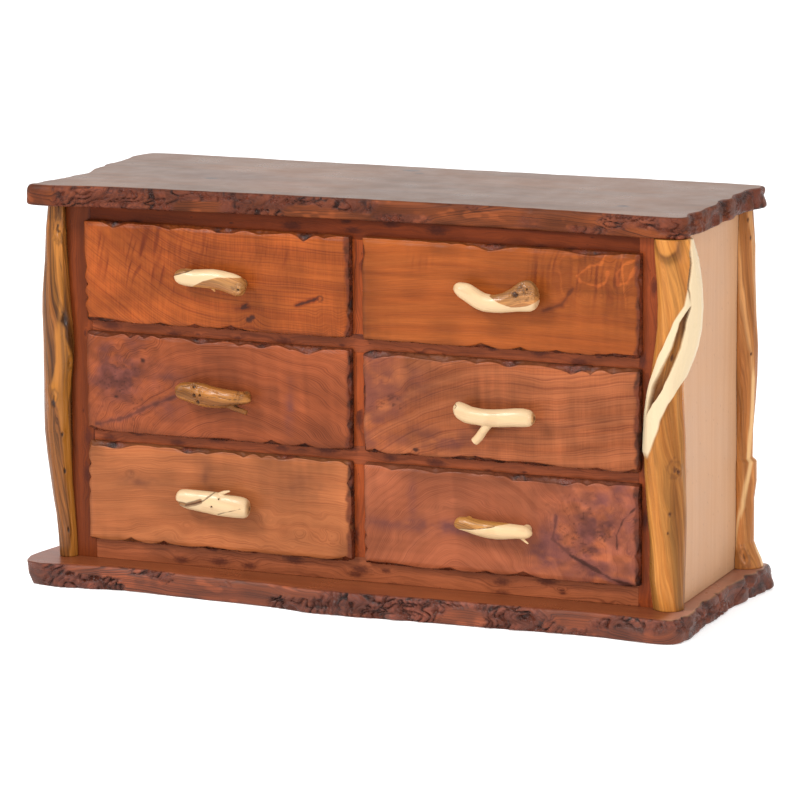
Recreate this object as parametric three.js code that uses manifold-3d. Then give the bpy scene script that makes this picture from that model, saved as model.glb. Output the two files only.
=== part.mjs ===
// A rustic live-edge dresser: a slab base and a slab top, four log corner posts, a face-framed case,
// and six drawers in two columns. Each drawer has a scalloped slab front and a branch for a pull.
// Millimetres, +Z up, the front of the dresser towards -Y, the origin under the middle of the base slab.
import * as THREE from "three";
import Module from "manifold-3d";
import { mergeVertices } from "three/addons/utils/BufferGeometryUtils.js";

const wasm = await Module();
wasm.setup();

// ---- driving dimensions ----
const HEIGHT = 889; // floor to the top surface
const BASE_THICKNESS = 53;
const TOP_THICKNESS = 46;
const CASE_X = -13; // the case stands this far left of the middle of the base slab
const CASE_HALF_WIDTH = 715; // to the outside of a side panel
const FRAME_FRONT_Y = -192; // front plane of the face frame
const CASE_BACK_Y = 250;
const FRAME_THICKNESS = 22;
const PANEL_THICKNESS = 20;
const BACK_THICKNESS = 12;

const FRONT_WIDTH = 626;
const FRONT_HEIGHT = 221;
const FRONT_THICKNESS = 20;
const ROW_GAP = 23.5; // between one front and the next above it
const COLUMN_GAP = 28; // between the two columns of fronts
const LOWEST_FRONT_Z = 98;
const FRONT_OVERLAP = 8; // how far a front laps over the frame on each edge
const FRONT_REVEAL = 1; // gap between a closed front and the frame

const BOX_SIDE_GAP = 2; // drawer box to the frame on either side
const BOX_RIDE_GAP = 0.5; // drawer box above the rail that it slides on
const BOX_HEIGHT = 190;
const BOX_DEPTH = 400;
const BOX_WALL = 12;
const BOX_BOTTOM = 6;
const BOX_BOTTOM_RISE = 12; // the bottom panel sits this far above the lower edge of the sides

const RUNNER_WIDTH = 40;
const RUNNER_ABOVE_RAIL = 11;
const RUNNER_BELOW_RAIL = 20;
const RUNNER_NOTCH_GAP = 2; // drawer back to the runner on either side

const TOUCH_GAP = 0.3; // clearance between a shaped piece and the flat piece that it is fixed to

// ---- places worked out from them ----
const TOP_UNDERSIDE = HEIGHT - TOP_THICKNESS;
const FRAME_BACK_Y = FRAME_FRONT_Y + FRAME_THICKNESS;
const FRONT_BACK_Y = FRAME_FRONT_Y - FRONT_REVEAL;
const FRONT_FACE_Y = FRONT_BACK_Y - FRONT_THICKNESS;
const ROW_PITCH = FRONT_HEIGHT + ROW_GAP;
const OPENING_WIDTH = FRONT_WIDTH - 2 * FRONT_OVERLAP;
const OPENING_HEIGHT = FRONT_HEIGHT - 2 * FRONT_OVERLAP;
const MULLION_HALF = COLUMN_GAP / 2 + FRONT_OVERLAP;
const STILE_INNER = MULLION_HALF + OPENING_WIDTH;
const COLUMN_OFFSET = (COLUMN_GAP + FRONT_WIDTH) / 2;

const COLUMNS = [
  { name: "left", x: CASE_X - COLUMN_OFFSET },
  { name: "right", x: CASE_X + COLUMN_OFFSET },
];
const ROWS = [
  { name: "bottom", rail: "rail_bottom", frontZ: LOWEST_FRONT_Z },
  { name: "middle", rail: "rail_lower_mid", frontZ: LOWEST_FRONT_Z + ROW_PITCH },
  { name: "top", rail: "rail_upper_mid", frontZ: LOWEST_FRONT_Z + 2 * ROW_PITCH },
];

// ---- materials: one per piece, so that a piece can be recoloured on its own ----
const WOODS = {
  slab: { color: 0x8f4a30, roughness: 0.3, metalness: 0 },
  frame: { color: 0xa35a38, roughness: 0.35, metalness: 0 },
  panel: { color: 0xc79a78, roughness: 0.4, metalness: 0 },
  front: { color: 0xb5603a, roughness: 0.3, metalness: 0 },
  post: { color: 0xb98a5a, roughness: 0.3, metalness: 0 },
  pull: { color: 0xdcc08c, roughness: 0.25, metalness: 0 },
  box: { color: 0xd9bd92, roughness: 0.6, metalness: 0 },
};

const dresser = new THREE.Group();

function addPiece(name, geometry, wood) {
  const piece = new THREE.Mesh(geometry, new THREE.MeshStandardMaterial(WOODS[wood]));
  piece.name = name;
  dresser.add(piece);
  return piece;
}

// A straight board between two opposite corners.
function addBoard(name, wood, [x0, x1], [y0, y1], [z0, z1]) {
  const board = addPiece(name, new THREE.BoxGeometry(x1 - x0, y1 - y0, z1 - z0), wood);
  board.position.set((x0 + x1) / 2, (y0 + y1) / 2, (z0 + z1) / 2);
}

// ---- solids and booleans ----
function toSolid(geometry) {
  const bare = geometry.clone();
  bare.deleteAttribute("normal");
  bare.deleteAttribute("uv");
  const merged = mergeVertices(bare, 1e-4);
  return new wasm.Manifold(
    new wasm.Mesh({
      numProp: 3,
      vertProperties: merged.attributes.position.array,
      triVerts: new Uint32Array(merged.index.array),
    }),
  );
}

function toGeometry(solid) {
  const mesh = solid.getMesh();
  const geometry = new THREE.BufferGeometry();
  geometry.setAttribute("position", new THREE.BufferAttribute(mesh.vertProperties, 3));
  geometry.setIndex(new THREE.BufferAttribute(mesh.triVerts, 1));
  geometry.computeVertexNormals();
  return geometry;
}

// ---- live-edge slabs ----
// Plan outlines, counter-clockwise from the front left corner, smoothed by a closed spline.
const BASE_OUTLINE = [
  [-770, -274], [-645, -274], [-560, -262], [-350, -273], [-200, -281], [-110, -297], [-35, -301],
  [120, -291], [345, -285], [475, -277], [560, -275], [705, -288], [738, -265], [744, -150],
  [746, 0], [752, 100], [770, 240], [762, 290], [400, 297], [0, 302], [-400, 295], [-745, 291],
  [-767, 250], [-758, 80], [-762, -90],
];
const TOP_OUTLINE = [
  [-732, -262], [-600, -243], [-380, -226], [-140, -214], [90, -206], [312, -200], [540, -209],
  [680, -217], [722, -205], [729, -150], [733, 0], [738, 120], [742, 195], [757, 222], [748, 262],
  [733, 270], [227, 264], [-367, 258], [-695, 254], [-724, 226], [-734, 168], [-728, 90],
  [-735, 26], [-718, -69], [-740, -160],
];
const SLAB_SPLINE_STEPS = 3; // straight steps per outline point
const SLAB_BEVEL = 9;

function smoothOutline(points) {
  const corners = points.map(([x, y]) => new THREE.Vector3(x, y, 0));
  const curve = new THREE.CatmullRomCurve3(corners, true, "centripetal");
  return curve.getPoints(points.length * SLAB_SPLINE_STEPS).slice(0, -1);
}

// Moves an outline so that the middle of its bounding box is at the origin.
function centred(points) {
  const middle = new THREE.Box3().setFromPoints(points).getCenter(new THREE.Vector3());
  return points.map((p) => p.clone().sub(middle));
}

function slabGeometry(points, z0, thickness) {
  const shape = new THREE.Shape(points.map((p) => new THREE.Vector2(p.x, p.y)));
  const geometry = new THREE.ExtrudeGeometry(shape, {
    depth: thickness - 2 * SLAB_BEVEL,
    steps: 1,
    bevelThickness: SLAB_BEVEL,
    bevelSize: SLAB_BEVEL,
    bevelOffset: -SLAB_BEVEL,
    bevelSegments: 2,
  });
  return geometry.translate(0, 0, z0 + SLAB_BEVEL);
}

addPiece("base_slab", slabGeometry(centred(smoothOutline(BASE_OUTLINE)), 0, BASE_THICKNESS), "slab");
addPiece("top_slab", slabGeometry(smoothOutline(TOP_OUTLINE), TOP_UNDERSIDE, TOP_THICKNESS), "slab");

// ---- case: panels and face frame ----
const CASE_Z = [BASE_THICKNESS, TOP_UNDERSIDE];
const PANEL_INNER = CASE_HALF_WIDTH - PANEL_THICKNESS;
const FRAME_Y = [FRAME_FRONT_Y, FRAME_BACK_Y];

for (const [side, sign] of [["left", -1], ["right", 1]]) {
  const span = (inner, outer) => [CASE_X + sign * inner, CASE_X + sign * outer].sort((a, b) => a - b);
  addBoard(`side_panel_${side}`, "panel", span(PANEL_INNER, CASE_HALF_WIDTH), [FRAME_BACK_Y, CASE_BACK_Y], CASE_Z);
  addBoard(`stile_${side}`, "frame", span(STILE_INNER, CASE_HALF_WIDTH), FRAME_Y, CASE_Z);
}
addBoard(
  "back_panel",
  "panel",
  [CASE_X - PANEL_INNER, CASE_X + PANEL_INNER],
  [CASE_BACK_Y - BACK_THICKNESS, CASE_BACK_Y],
  CASE_Z,
);

const openingBottom = (row) => row.frontZ + FRONT_OVERLAP;
const openingTop = (row) => openingBottom(row) + OPENING_HEIGHT;
const RAIL_X = [CASE_X - STILE_INNER, CASE_X + STILE_INNER];
const MULLION_X = [CASE_X - MULLION_HALF, CASE_X + MULLION_HALF];

// Each rail fills the space under one row of drawers, and the last one closes the frame under the top.
ROWS.forEach((row, index) => {
  const below = index === 0 ? BASE_THICKNESS : openingTop(ROWS[index - 1]);
  addBoard(row.rail, "frame", RAIL_X, FRAME_Y, [below, openingBottom(row)]);
  addBoard(`mullion_${row.name}`, "frame", MULLION_X, FRAME_Y, [openingBottom(row), openingTop(row)]);
});
addBoard("rail_top", "frame", RAIL_X, FRAME_Y, [openingTop(ROWS.at(-1)), TOP_UNDERSIDE]);

// ---- log posts: a log is notched over each corner of the case ----
// A swell pushes the log's surface out (or in) around one height and one direction.
const POSTS = [
  {
    name: "post_front_left", corner: [-1, -1], x: -723, y: -199, radius: 30, phase: 0.4,
    swells: [{ z: 480, angle: 200, size: 9, spread: 190 }, { z: 60, angle: 250, size: -4, spread: 80 }],
  },
  {
    name: "post_front_right", corner: [1, -1], x: 686, y: -186, radius: 41, phase: 2.1,
    swells: [
      { z: 690, angle: 0, size: 19, spread: 130 },
      { z: 390, angle: 215, size: 11, spread: 130 },
      { z: 60, angle: 240, size: -9, spread: 90 },
      { z: 843, angle: 315, size: -9, spread: 70 },
    ],
  },
  {
    name: "post_back_left", corner: [-1, 1], x: -718, y: 237, radius: 31, phase: 4.2,
    swells: [{ z: 150, angle: 170, size: 7, spread: 100 }],
  },
  {
    name: "post_back_right", corner: [1, 1], x: 701, y: 236, radius: 35, phase: 5.3,
    swells: [{ z: 520, angle: 0, size: 7, spread: 120 }, { z: 60, angle: 0, size: 11, spread: 40 }],
  },
];
const POST_Z0 = BASE_THICKNESS + TOUCH_GAP;
const POST_LENGTH = TOP_UNDERSIDE - TOUCH_GAP - POST_Z0;
const POST_SIDES = 20;
const POST_STEPS = 16;
const NOTCH_REACH = 200; // longer than any log is thick

// How far the log's surface is from its axis, for a direction and a height.
function logRadius(post, angle, z) {
  const wander = 0.04 * Math.sin(3 * angle + post.phase + z / 170) + 0.03 * Math.sin(z / 61 + 2 * post.phase);
  let radius = post.radius * (1 + wander);
  for (const swell of post.swells) {
    const turn = angle - THREE.MathUtils.degToRad(swell.angle);
    const facing = Math.max(0, Math.cos(turn)) ** 2;
    radius += swell.size * facing * Math.exp(-(((z - swell.z) / swell.spread) ** 2));
  }
  return radius;
}

function logGeometry(post) {
  const geometry = new THREE.CylinderGeometry(1, 1, POST_LENGTH, POST_SIDES, POST_STEPS);
  geometry.rotateX(Math.PI / 2);
  geometry.translate(0, 0, POST_Z0 + POST_LENGTH / 2);
  const place = geometry.attributes.position;
  for (let i = 0; i < place.count; i += 1) {
    const angle = Math.atan2(place.getY(i), place.getX(i));
    const reach = Math.hypot(place.getX(i), place.getY(i)) * logRadius(post, angle, place.getZ(i));
    place.setXY(i, post.x + reach * Math.cos(angle), post.y + reach * Math.sin(angle));
  }
  return geometry;
}

// The corner of the case that the log laps, as a box a touch larger than the case itself.
function caseCorner([signX, signY]) {
  const faceX = CASE_X + signX * (CASE_HALF_WIDTH + TOUCH_GAP);
  const faceY = signY < 0 ? FRAME_FRONT_Y - TOUCH_GAP : CASE_BACK_Y + TOUCH_GAP;
  const corner = new THREE.BoxGeometry(NOTCH_REACH, NOTCH_REACH, HEIGHT);
  corner.translate(faceX - (signX * NOTCH_REACH) / 2, faceY - (signY * NOTCH_REACH) / 2, HEIGHT / 2);
  return toSolid(corner);
}

for (const post of POSTS) {
  const notched = toSolid(logGeometry(post)).subtract(caseCorner(post.corner));
  addPiece(post.name, toGeometry(notched), "post");
}

// ---- drawer fronts: slabs with carved, scalloped edges ----
const SCALLOP_DEPTH = 3.5;
const SCALLOP_STEP = 38; // straight steps along an edge
const FRONT_BEVEL = 4;

// How far the edge is carved in, at a distance along the edge.
function scallop(distance, phase) {
  const wave = Math.sin(distance / 41 + phase) + 0.7 * Math.sin(distance / 17 + 2.3 * phase);
  return (SCALLOP_DEPTH * (1 + wave / 1.7)) / 2;
}

function scallopedOutline(phase) {
  const [halfWidth, halfHeight] = [FRONT_WIDTH / 2, FRONT_HEIGHT / 2];
  const corners = [[-1, -1], [1, -1], [1, 1], [-1, 1]].map(([sx, sz]) => new THREE.Vector2(sx * halfWidth, sz * halfHeight));
  const outline = [];
  corners.forEach((start, index) => {
    const run = corners[(index + 1) % corners.length].clone().sub(start);
    const length = run.length();
    const along = run.normalize();
    const inward = new THREE.Vector2(-along.y, along.x);
    const count = Math.round(length / SCALLOP_STEP);
    for (let step = 0; step < count; step += 1) {
      const distance = (step / count) * length;
      const depth = step === 0 ? 0 : scallop(distance, phase + index);
      outline.push(start.clone().addScaledVector(along, distance).addScaledVector(inward, depth));
    }
  });
  return outline;
}

// Turns an extrusion so that its outline stands in the XZ plane and its depth runs towards -Y.
function standUp(geometry, x, y, z) {
  return geometry.rotateX(Math.PI / 2).translate(x, y, z);
}

function frontGeometry(x, z, phase) {
  const geometry = new THREE.ExtrudeGeometry(new THREE.Shape(scallopedOutline(phase)), {
    depth: FRONT_THICKNESS - 2 * FRONT_BEVEL,
    steps: 1,
    bevelThickness: FRONT_BEVEL,
    bevelSize: FRONT_BEVEL,
    bevelOffset: -FRONT_BEVEL,
    bevelSegments: 1,
  });
  return standUp(geometry, x, FRONT_BACK_Y - FRONT_BEVEL, z);
}

// ---- pulls: a length of branch on two short feet ----
// x and z place the branch on its front. stations give, at fractions of its length, how far the branch
// rises above z and its half height there. A stub is a side twig: where it leaves, and how it runs.
const PULLS = {
  left_top: {
    x: 1, z: 5, length: 176,
    stations: [[0, 4, 17], [0.25, 3, 18], [0.5, 5, 20], [0.75, 0, 20], [1, -10, 21]],
    stub: { at: 0.55, rise: -16, run: [14, -12], radius: 3.5 },
  },
  left_middle: {
    x: 6, z: -3, length: 186,
    stations: [[0, 8, 18], [0.33, 3, 25], [0.5, -2, 24], [0.72, -6, 20], [1, 0, 13]],
    stub: { at: 0.68, rise: -16, run: [46, -18], radius: 6 },
  },
  left_bottom: {
    x: -6, z: 4, length: 167,
    stations: [[0, 6, 18], [0.3, 4, 21], [0.5, 0, 23], [0.75, -4, 21], [1, -4, 19]],
    stub: { at: 0.62, rise: 14, run: [22, 14], radius: 3 },
  },
  right_top: {
    x: 5, z: 8, length: 198,
    stations: [[0, 20, 15], [0.2, 6, 17], [0.5, -14, 19], [0.75, -6, 23], [0.92, 4, 28], [1, 4, 24]],
    stub: { at: 0.9, rise: 18, run: [6, 14], radius: 8 },
  },
  right_middle: {
    x: 1, z: -6, length: 188,
    stations: [[0, 21, 17], [0.25, 7, 18], [0.5, -1, 19], [0.75, 1, 19], [1, 1, 18]],
    stub: { at: 0.4, rise: -10, run: [-33, -48], radius: 9 },
  },
  right_bottom: {
    x: -2, z: -6, length: 182,
    stations: [[0, 6, 13], [0.25, 3, 17], [0.5, -2, 18], [0.75, -1, 16], [1, -2, 12]],
    stub: { at: 0.86, rise: -8, run: [16, -12], radius: 3 },
  },
};
const PULL_HALF_DEPTH = 14;
const PULL_STANDOFF = 30; // branch axis in front of the drawer front
const PULL_BOW = 3; // the middle of the branch stands this much further out than its ends
const PULL_SIDES = 12;
const PULL_STEPS = 12;
const FOOT_AT = [0.12, 0.88];
const FOOT_RADIUS = 11;
const FOOT_SIDES = 12;
const STUB_SIDES = 8;

// The branch's rise and half height at a fraction of its length, eased between the stations.
function stationAt(stations, t) {
  const next = Math.max(1, stations.findIndex(([at]) => at >= t));
  const [t0, rise0, half0] = stations[next - 1];
  const [t1, rise1, half1] = stations[next];
  const ease = THREE.MathUtils.smoothstep(t, t0, t1);
  return { rise: rise0 + ease * (rise1 - rise0), half: half0 + ease * (half1 - half0) };
}

function branchGeometry(pull, middle) {
  const geometry = new THREE.CylinderGeometry(1, 1, 1, PULL_SIDES, PULL_STEPS);
  geometry.rotateZ(-Math.PI / 2); // its axis along X, from -0.5 to 0.5
  const place = geometry.attributes.position;
  for (let i = 0; i < place.count; i += 1) {
    const along = place.getX(i);
    const { rise, half } = stationAt(pull.stations, THREE.MathUtils.clamp(along + 0.5, 0, 1));
    const roundEnd = 1 - 0.3 * (2 * Math.abs(along)) ** 12;
    const bow = PULL_BOW * Math.cos(Math.PI * along);
    place.setXYZ(
      i,
      middle.x + along * pull.length,
      middle.y - bow + place.getY(i) * PULL_HALF_DEPTH * roundEnd,
      middle.z + rise + place.getZ(i) * half * roundEnd,
    );
  }
  return geometry;
}

// A round bar between two points, its ends cut square.
function barGeometry(from, to, radiusFrom, radiusTo, sides) {
  const run = to.clone().sub(from);
  const geometry = new THREE.CylinderGeometry(radiusTo, radiusFrom, run.length(), sides);
  const turn = new THREE.Quaternion().setFromUnitVectors(new THREE.Vector3(0, 1, 0), run.clone().normalize());
  geometry.applyQuaternion(turn);
  return geometry.translate(...from.clone().addScaledVector(run, 0.5).toArray());
}

function pullGeometry(pull, frontX, frontZ) {
  const middle = new THREE.Vector3(frontX + pull.x, FRONT_FACE_Y - PULL_STANDOFF, frontZ + pull.z);
  const onAxis = (t) => middle.clone().add(new THREE.Vector3((t - 0.5) * pull.length, 0, stationAt(pull.stations, t).rise));
  let solid = toSolid(branchGeometry(pull, middle));
  for (const at of FOOT_AT) {
    const axis = onAxis(at);
    const sole = new THREE.Vector3(axis.x, FRONT_FACE_Y - TOUCH_GAP, axis.z);
    solid = solid.add(toSolid(barGeometry(sole, axis, FOOT_RADIUS, FOOT_RADIUS * 0.8, FOOT_SIDES)));
  }
  const { at, rise, run, radius } = pull.stub;
  const root = onAxis(at).add(new THREE.Vector3(0, 0, rise * 0.5));
  const tip = onAxis(at).add(new THREE.Vector3(run[0], 0, rise + run[1]));
  solid = solid.add(toSolid(barGeometry(root, tip, radius * 1.25, radius, STUB_SIDES)));
  return toGeometry(solid);
}

// ---- drawers ----
// The back is cut away underneath so that it clears the centre runner.
function drawerBackGeometry(x, y, z0, halfWidth) {
  const notch = RUNNER_WIDTH / 2 + RUNNER_NOTCH_GAP;
  const outline = [
    [-halfWidth, 0], [-notch, 0], [-notch, BOX_BOTTOM_RISE], [notch, BOX_BOTTOM_RISE], [notch, 0],
    [halfWidth, 0], [halfWidth, BOX_HEIGHT], [-halfWidth, BOX_HEIGHT],
  ];
  const shape = new THREE.Shape(outline.map(([u, v]) => new THREE.Vector2(u, v)));
  const geometry = new THREE.ExtrudeGeometry(shape, { depth: BOX_WALL, steps: 1, bevelEnabled: false });
  return standUp(geometry, x, y, z0);
}

function addDrawer(column, row, index) {
  const tag = `${column.name}_${row.name}`;
  const railTop = openingBottom(row);
  const boxZ = railTop + BOX_RIDE_GAP;
  const boxBack = FRONT_BACK_Y + BOX_DEPTH;
  const outer = OPENING_WIDTH / 2 - BOX_SIDE_GAP;
  const inner = outer - BOX_WALL;
  const sideY = [FRONT_BACK_Y, boxBack];
  const sideZ = [boxZ, boxZ + BOX_HEIGHT];
  const frontZ = row.frontZ + FRONT_HEIGHT / 2;

  addPiece(`front_${tag}`, frontGeometry(column.x, frontZ, 1.7 * index), "front");
  addBoard(`side_left_${tag}`, "box", [column.x - outer, column.x - inner], sideY, sideZ);
  addBoard(`side_right_${tag}`, "box", [column.x + inner, column.x + outer], sideY, sideZ);
  addPiece(`back_${tag}`, drawerBackGeometry(column.x, boxBack, boxZ, inner), "box");
  addBoard(
    `bottom_${tag}`,
    "box",
    [column.x - inner, column.x + inner],
    [FRONT_BACK_Y, boxBack - BOX_WALL],
    [boxZ + BOX_BOTTOM_RISE, boxZ + BOX_BOTTOM_RISE + BOX_BOTTOM],
  );
  addPiece(`pull_${tag}`, pullGeometry(PULLS[tag], column.x, frontZ), "pull");

  const runnerHalf = RUNNER_WIDTH / 2;
  addBoard(
    `runner_${tag}`,
    "frame",
    [column.x - runnerHalf, column.x + runnerHalf],
    [FRAME_BACK_Y, CASE_BACK_Y - BACK_THICKNESS],
    [railTop - RUNNER_BELOW_RAIL, railTop + RUNNER_ABOVE_RAIL],
  );
}

COLUMNS.forEach((column, c) => {
  ROWS.forEach((row, r) => addDrawer(column, row, c * ROWS.length + r));
});

export default dresser;
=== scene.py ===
"""Looks of a rustic live-edge dresser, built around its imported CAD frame.

Wood figure is worked out as fields on each mesh: how far a point is from its log's pith, how far along the
grain it is, and where there is sapwood, a knot, a purple stain or bark. The wood shader draws from those.
"""
import math

import bpy
import numpy as np
from mathutils import Matrix, Vector


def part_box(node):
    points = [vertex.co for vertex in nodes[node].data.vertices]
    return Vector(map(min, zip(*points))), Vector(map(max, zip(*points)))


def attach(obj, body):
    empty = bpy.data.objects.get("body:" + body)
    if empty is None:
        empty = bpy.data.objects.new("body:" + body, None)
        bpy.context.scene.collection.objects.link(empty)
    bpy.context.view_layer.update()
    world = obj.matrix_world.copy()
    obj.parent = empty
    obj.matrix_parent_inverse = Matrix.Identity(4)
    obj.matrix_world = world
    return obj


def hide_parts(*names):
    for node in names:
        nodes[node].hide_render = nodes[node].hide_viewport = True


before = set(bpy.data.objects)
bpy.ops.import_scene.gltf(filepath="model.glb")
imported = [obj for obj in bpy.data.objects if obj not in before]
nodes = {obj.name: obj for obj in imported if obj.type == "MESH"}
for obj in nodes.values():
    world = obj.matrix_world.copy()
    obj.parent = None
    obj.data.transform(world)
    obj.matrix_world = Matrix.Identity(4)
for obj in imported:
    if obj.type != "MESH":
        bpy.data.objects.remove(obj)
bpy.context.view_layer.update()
scene = bpy.context.scene
scene.view_settings.view_transform = "Standard"


# ---------------------------------------------------------------- camera and light
VIEW_AZIMUTH = math.radians(22.33)
VIEW_ELEVATION = math.radians(11.55)
VIEW_ROLL = math.radians(-0.39)
VIEW_DISTANCE = 10.257
VIEW_TARGET = Vector((-0.0063, 0.017, 0.4124))
LENS_MM = 211.7
LIGHT_AIM = Vector((0, 0, 0.4))
FLOOR_SIZE = 30


def add_camera():
    level = Vector((math.cos(VIEW_AZIMUTH), math.sin(VIEW_AZIMUTH), 0))
    back = Vector((
        math.sin(VIEW_AZIMUTH) * math.cos(VIEW_ELEVATION),
        -math.cos(VIEW_AZIMUTH) * math.cos(VIEW_ELEVATION),
        math.sin(VIEW_ELEVATION),
    ))
    upright = back.cross(level)
    right = level * math.cos(VIEW_ROLL) + upright * math.sin(VIEW_ROLL)
    up = back.cross(right)
    data = bpy.data.cameras.new("camera")
    data.lens = LENS_MM
    camera = bpy.data.objects.new("camera", data)
    turn = Matrix((right, up, back)).transposed().to_4x4()
    camera.matrix_world = Matrix.Translation(VIEW_TARGET + back * VIEW_DISTANCE) @ turn
    scene.collection.objects.link(camera)
    scene.camera = camera


def add_area_light(name, place, size, power):
    data = bpy.data.lights.new(name, "AREA")
    data.shape = "DISK"
    data.size = size
    data.energy = power
    lamp = bpy.data.objects.new(name, data)
    lamp.location = place
    lamp.rotation_euler = (Vector(place) - LIGHT_AIM).to_track_quat("Z", "Y").to_euler()
    scene.collection.objects.link(lamp)


def add_studio():
    world = bpy.data.worlds.new("studio")
    scene.world = world
    world.use_nodes = True
    background = world.node_tree.nodes["Background"]
    background.inputs["Color"].default_value = (1.0, 1.0, 1.0, 1.0)
    background.inputs["Strength"].default_value = 1.0
    add_area_light("key", place=(-2.6, -4.2, 4.6), size=1.5, power=305)
    add_area_light("fill", place=(4.5, -3.5, 2.4), size=2.0, power=115)

    bpy.ops.mesh.primitive_plane_add(size=FLOOR_SIZE, location=(0, 0, 0))
    floor = bpy.context.object
    floor.name = "floor"
    paint = bpy.data.materials.new("floor_white")
    paint.use_nodes = True
    shader = paint.node_tree.nodes["Principled BSDF"]
    shader.inputs["Base Color"].default_value = (0.96, 0.96, 0.96, 1)
    shader.inputs["Roughness"].default_value = 0.7
    shader.inputs["Emission Color"].default_value = (1, 1, 1, 1)
    shader.inputs["Emission Strength"].default_value = 0.3
    floor.data.materials.append(paint)


add_camera()
add_studio()


# ---------------------------------------------------------------- noise on arrays
def hash01(ix, iy, iz, seed):
    """A fixed number from 0 to 1 for each whole-number point."""
    mask = np.uint64(0xFFFFFFFF)
    h = np.uint64(seed * 1274126177 & 0xFFFFFFFF)
    for value, factor in ((ix, 374761393), (iy, 668265263), (iz, 3266489917)):
        h = (h + (value.astype(np.int64).astype(np.uint64) & mask) * np.uint64(factor)) & mask
    for shift, factor in ((15, 2246822519), (13, 3266489917)):
        h = ((h ^ (h >> np.uint64(shift))) * np.uint64(factor)) & mask
    return (h ^ (h >> np.uint64(16))).astype(np.float64) / 0xFFFFFFFF


def noise(x, y, z=0.0, seed=0):
    """Smooth noise from -1 to 1, about one bump for each unit."""
    x, y, z = np.broadcast_arrays(np.asarray(x, float), np.asarray(y, float), np.asarray(z, float))
    cells = [np.floor(v) for v in (x, y, z)]
    fractions = [v - c for v, c in zip((x, y, z), cells)]
    ease = [f * f * f * (f * (f * 6 - 15) + 10) for f in fractions]
    total = np.zeros(x.shape)
    for dx in (0, 1):
        for dy in (0, 1):
            for dz in (0, 1):
                weight = (
                    (ease[0] if dx else 1 - ease[0])
                    * (ease[1] if dy else 1 - ease[1])
                    * (ease[2] if dz else 1 - ease[2])
                )
                total += weight * hash01(cells[0] + dx, cells[1] + dy, cells[2] + dz, seed)
    return total * 2 - 1


def fractal(x, y, z=0.0, octaves=3, seed=0):
    """Noise of several sizes added up, from about -1 to 1."""
    total = 0.0
    size = 1.0
    for octave in range(octaves):
        total = total + noise(x / size, y / size, z / size, seed + octave) * size
        size *= 0.5
    return total / (2 - 2 * size)


def billow(x, y, z=0.0, seed=0):
    """Rounded bumps with sharp creases between them, from 0 in a crease to 1."""
    return np.minimum(1, 1.8 * np.abs(noise(x, y, z, seed)))


def smoothstep(low, high, value):
    """0 below low, rising smoothly to 1 at high. With low and high swapped, it falls."""
    t = np.clip((value - low) / (high - low), 0, 1)
    return t * t * (3 - 2 * t)


def fade(low, high, value):
    """1 below low, falling smoothly to 0 at high."""
    return 1 - smoothstep(low, high, value)


def bump(value, centre, spread):
    """A bell curve, 1 at the centre."""
    return np.exp(-(((value - centre) / spread) ** 2))


def spot(a, b, at_a, at_b, reach_a, reach_b):
    """A soft oval patch on a plane, 1 at its middle."""
    return np.exp(-((a - at_a) / reach_a) ** 2 - ((b - at_b) / reach_b) ** 2)


# ---------------------------------------------------------------- meshes
def make_piece(name, points, faces, fields, body, replaced, materials, material_index=None):
    """A mesh object from arrays, with one float attribute for each field, riding on its CAD body."""
    mesh = bpy.data.meshes.new(name)
    mesh.from_pydata(points.tolist(), [], faces)
    for field, values in fields.items():
        attribute = mesh.attributes.new(field, "FLOAT", "POINT")
        attribute.data.foreach_set("value", np.ascontiguousarray(values, dtype=np.float32))
    mesh.shade_smooth()
    for material in materials:
        mesh.materials.append(material)
    if material_index is not None:
        mesh.polygons.foreach_set("material_index", np.ascontiguousarray(material_index, dtype=np.int32))
    piece = bpy.data.objects.new(name, mesh)
    scene.collection.objects.link(piece)
    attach(piece, body)
    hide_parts(*replaced)
    return piece


def grid_faces(rows, columns, joined):
    """Quads over a grid of points in row order. A joined grid runs on from its last column to its first."""
    index = np.arange(rows * columns).reshape(rows, columns)
    right = np.roll(index, -1, axis=1)
    if not joined:
        index, right = index[:, :-1], right[:, :-1]
    quads = np.stack([index[:-1], right[:-1], right[1:], index[1:]], axis=-1)
    return quads.reshape(-1, 4).tolist()


def tube_faces(rows, columns):
    """Quads round a tube of rings, closed by a flat face at each end."""
    last = (rows - 1) * columns
    ends = [list(range(columns))[::-1], [last + column for column in range(columns)]]
    return grid_faces(rows, columns, joined=True) + ends


def closed(loop):
    """A loop of points with its first point again at the end."""
    return np.vstack([loop, loop[:1]])


def smoothed(loop, passes):
    """A closed loop of points or directions, averaged with their neighbours a number of times."""
    for _ in range(passes):
        loop = (np.roll(loop, 1, axis=0) + loop + np.roll(loop, -1, axis=0)) / 3
    return loop


def arc_lengths(curve):
    """Distance along a curve to each of its points."""
    steps = np.linalg.norm(np.diff(curve, axis=0), axis=1)
    return np.concatenate([[0], np.cumsum(steps)])


def resample(curve, count):
    """The same open curve with evenly spaced points."""
    reach = arc_lengths(curve)
    wanted = np.linspace(0, reach[-1], count)
    return np.stack([np.interp(wanted, reach, curve[:, axis]) for axis in range(curve.shape[1])], axis=1)


def interpolate(value, table, column=1):
    """Reads a column of a table at a place in its first column, in straight lines between its rows."""
    table = np.array(table, dtype=float)
    return np.interp(value, table[:, 0], table[:, column])


def distance_to_path(a, b, path):
    """Distance in a plane from each point to a line of straight segments."""
    nearest = np.full(np.shape(a), np.inf)
    for (a0, b0), (a1, b1) in zip(path[:-1], path[1:]):
        da, db = a1 - a0, b1 - b0
        t = np.clip(((a - a0) * da + (b - b0) * db) / (da * da + db * db), 0, 1)
        nearest = np.minimum(nearest, np.hypot(a - a0 - t * da, b - b0 - t * db))
    return nearest


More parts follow.
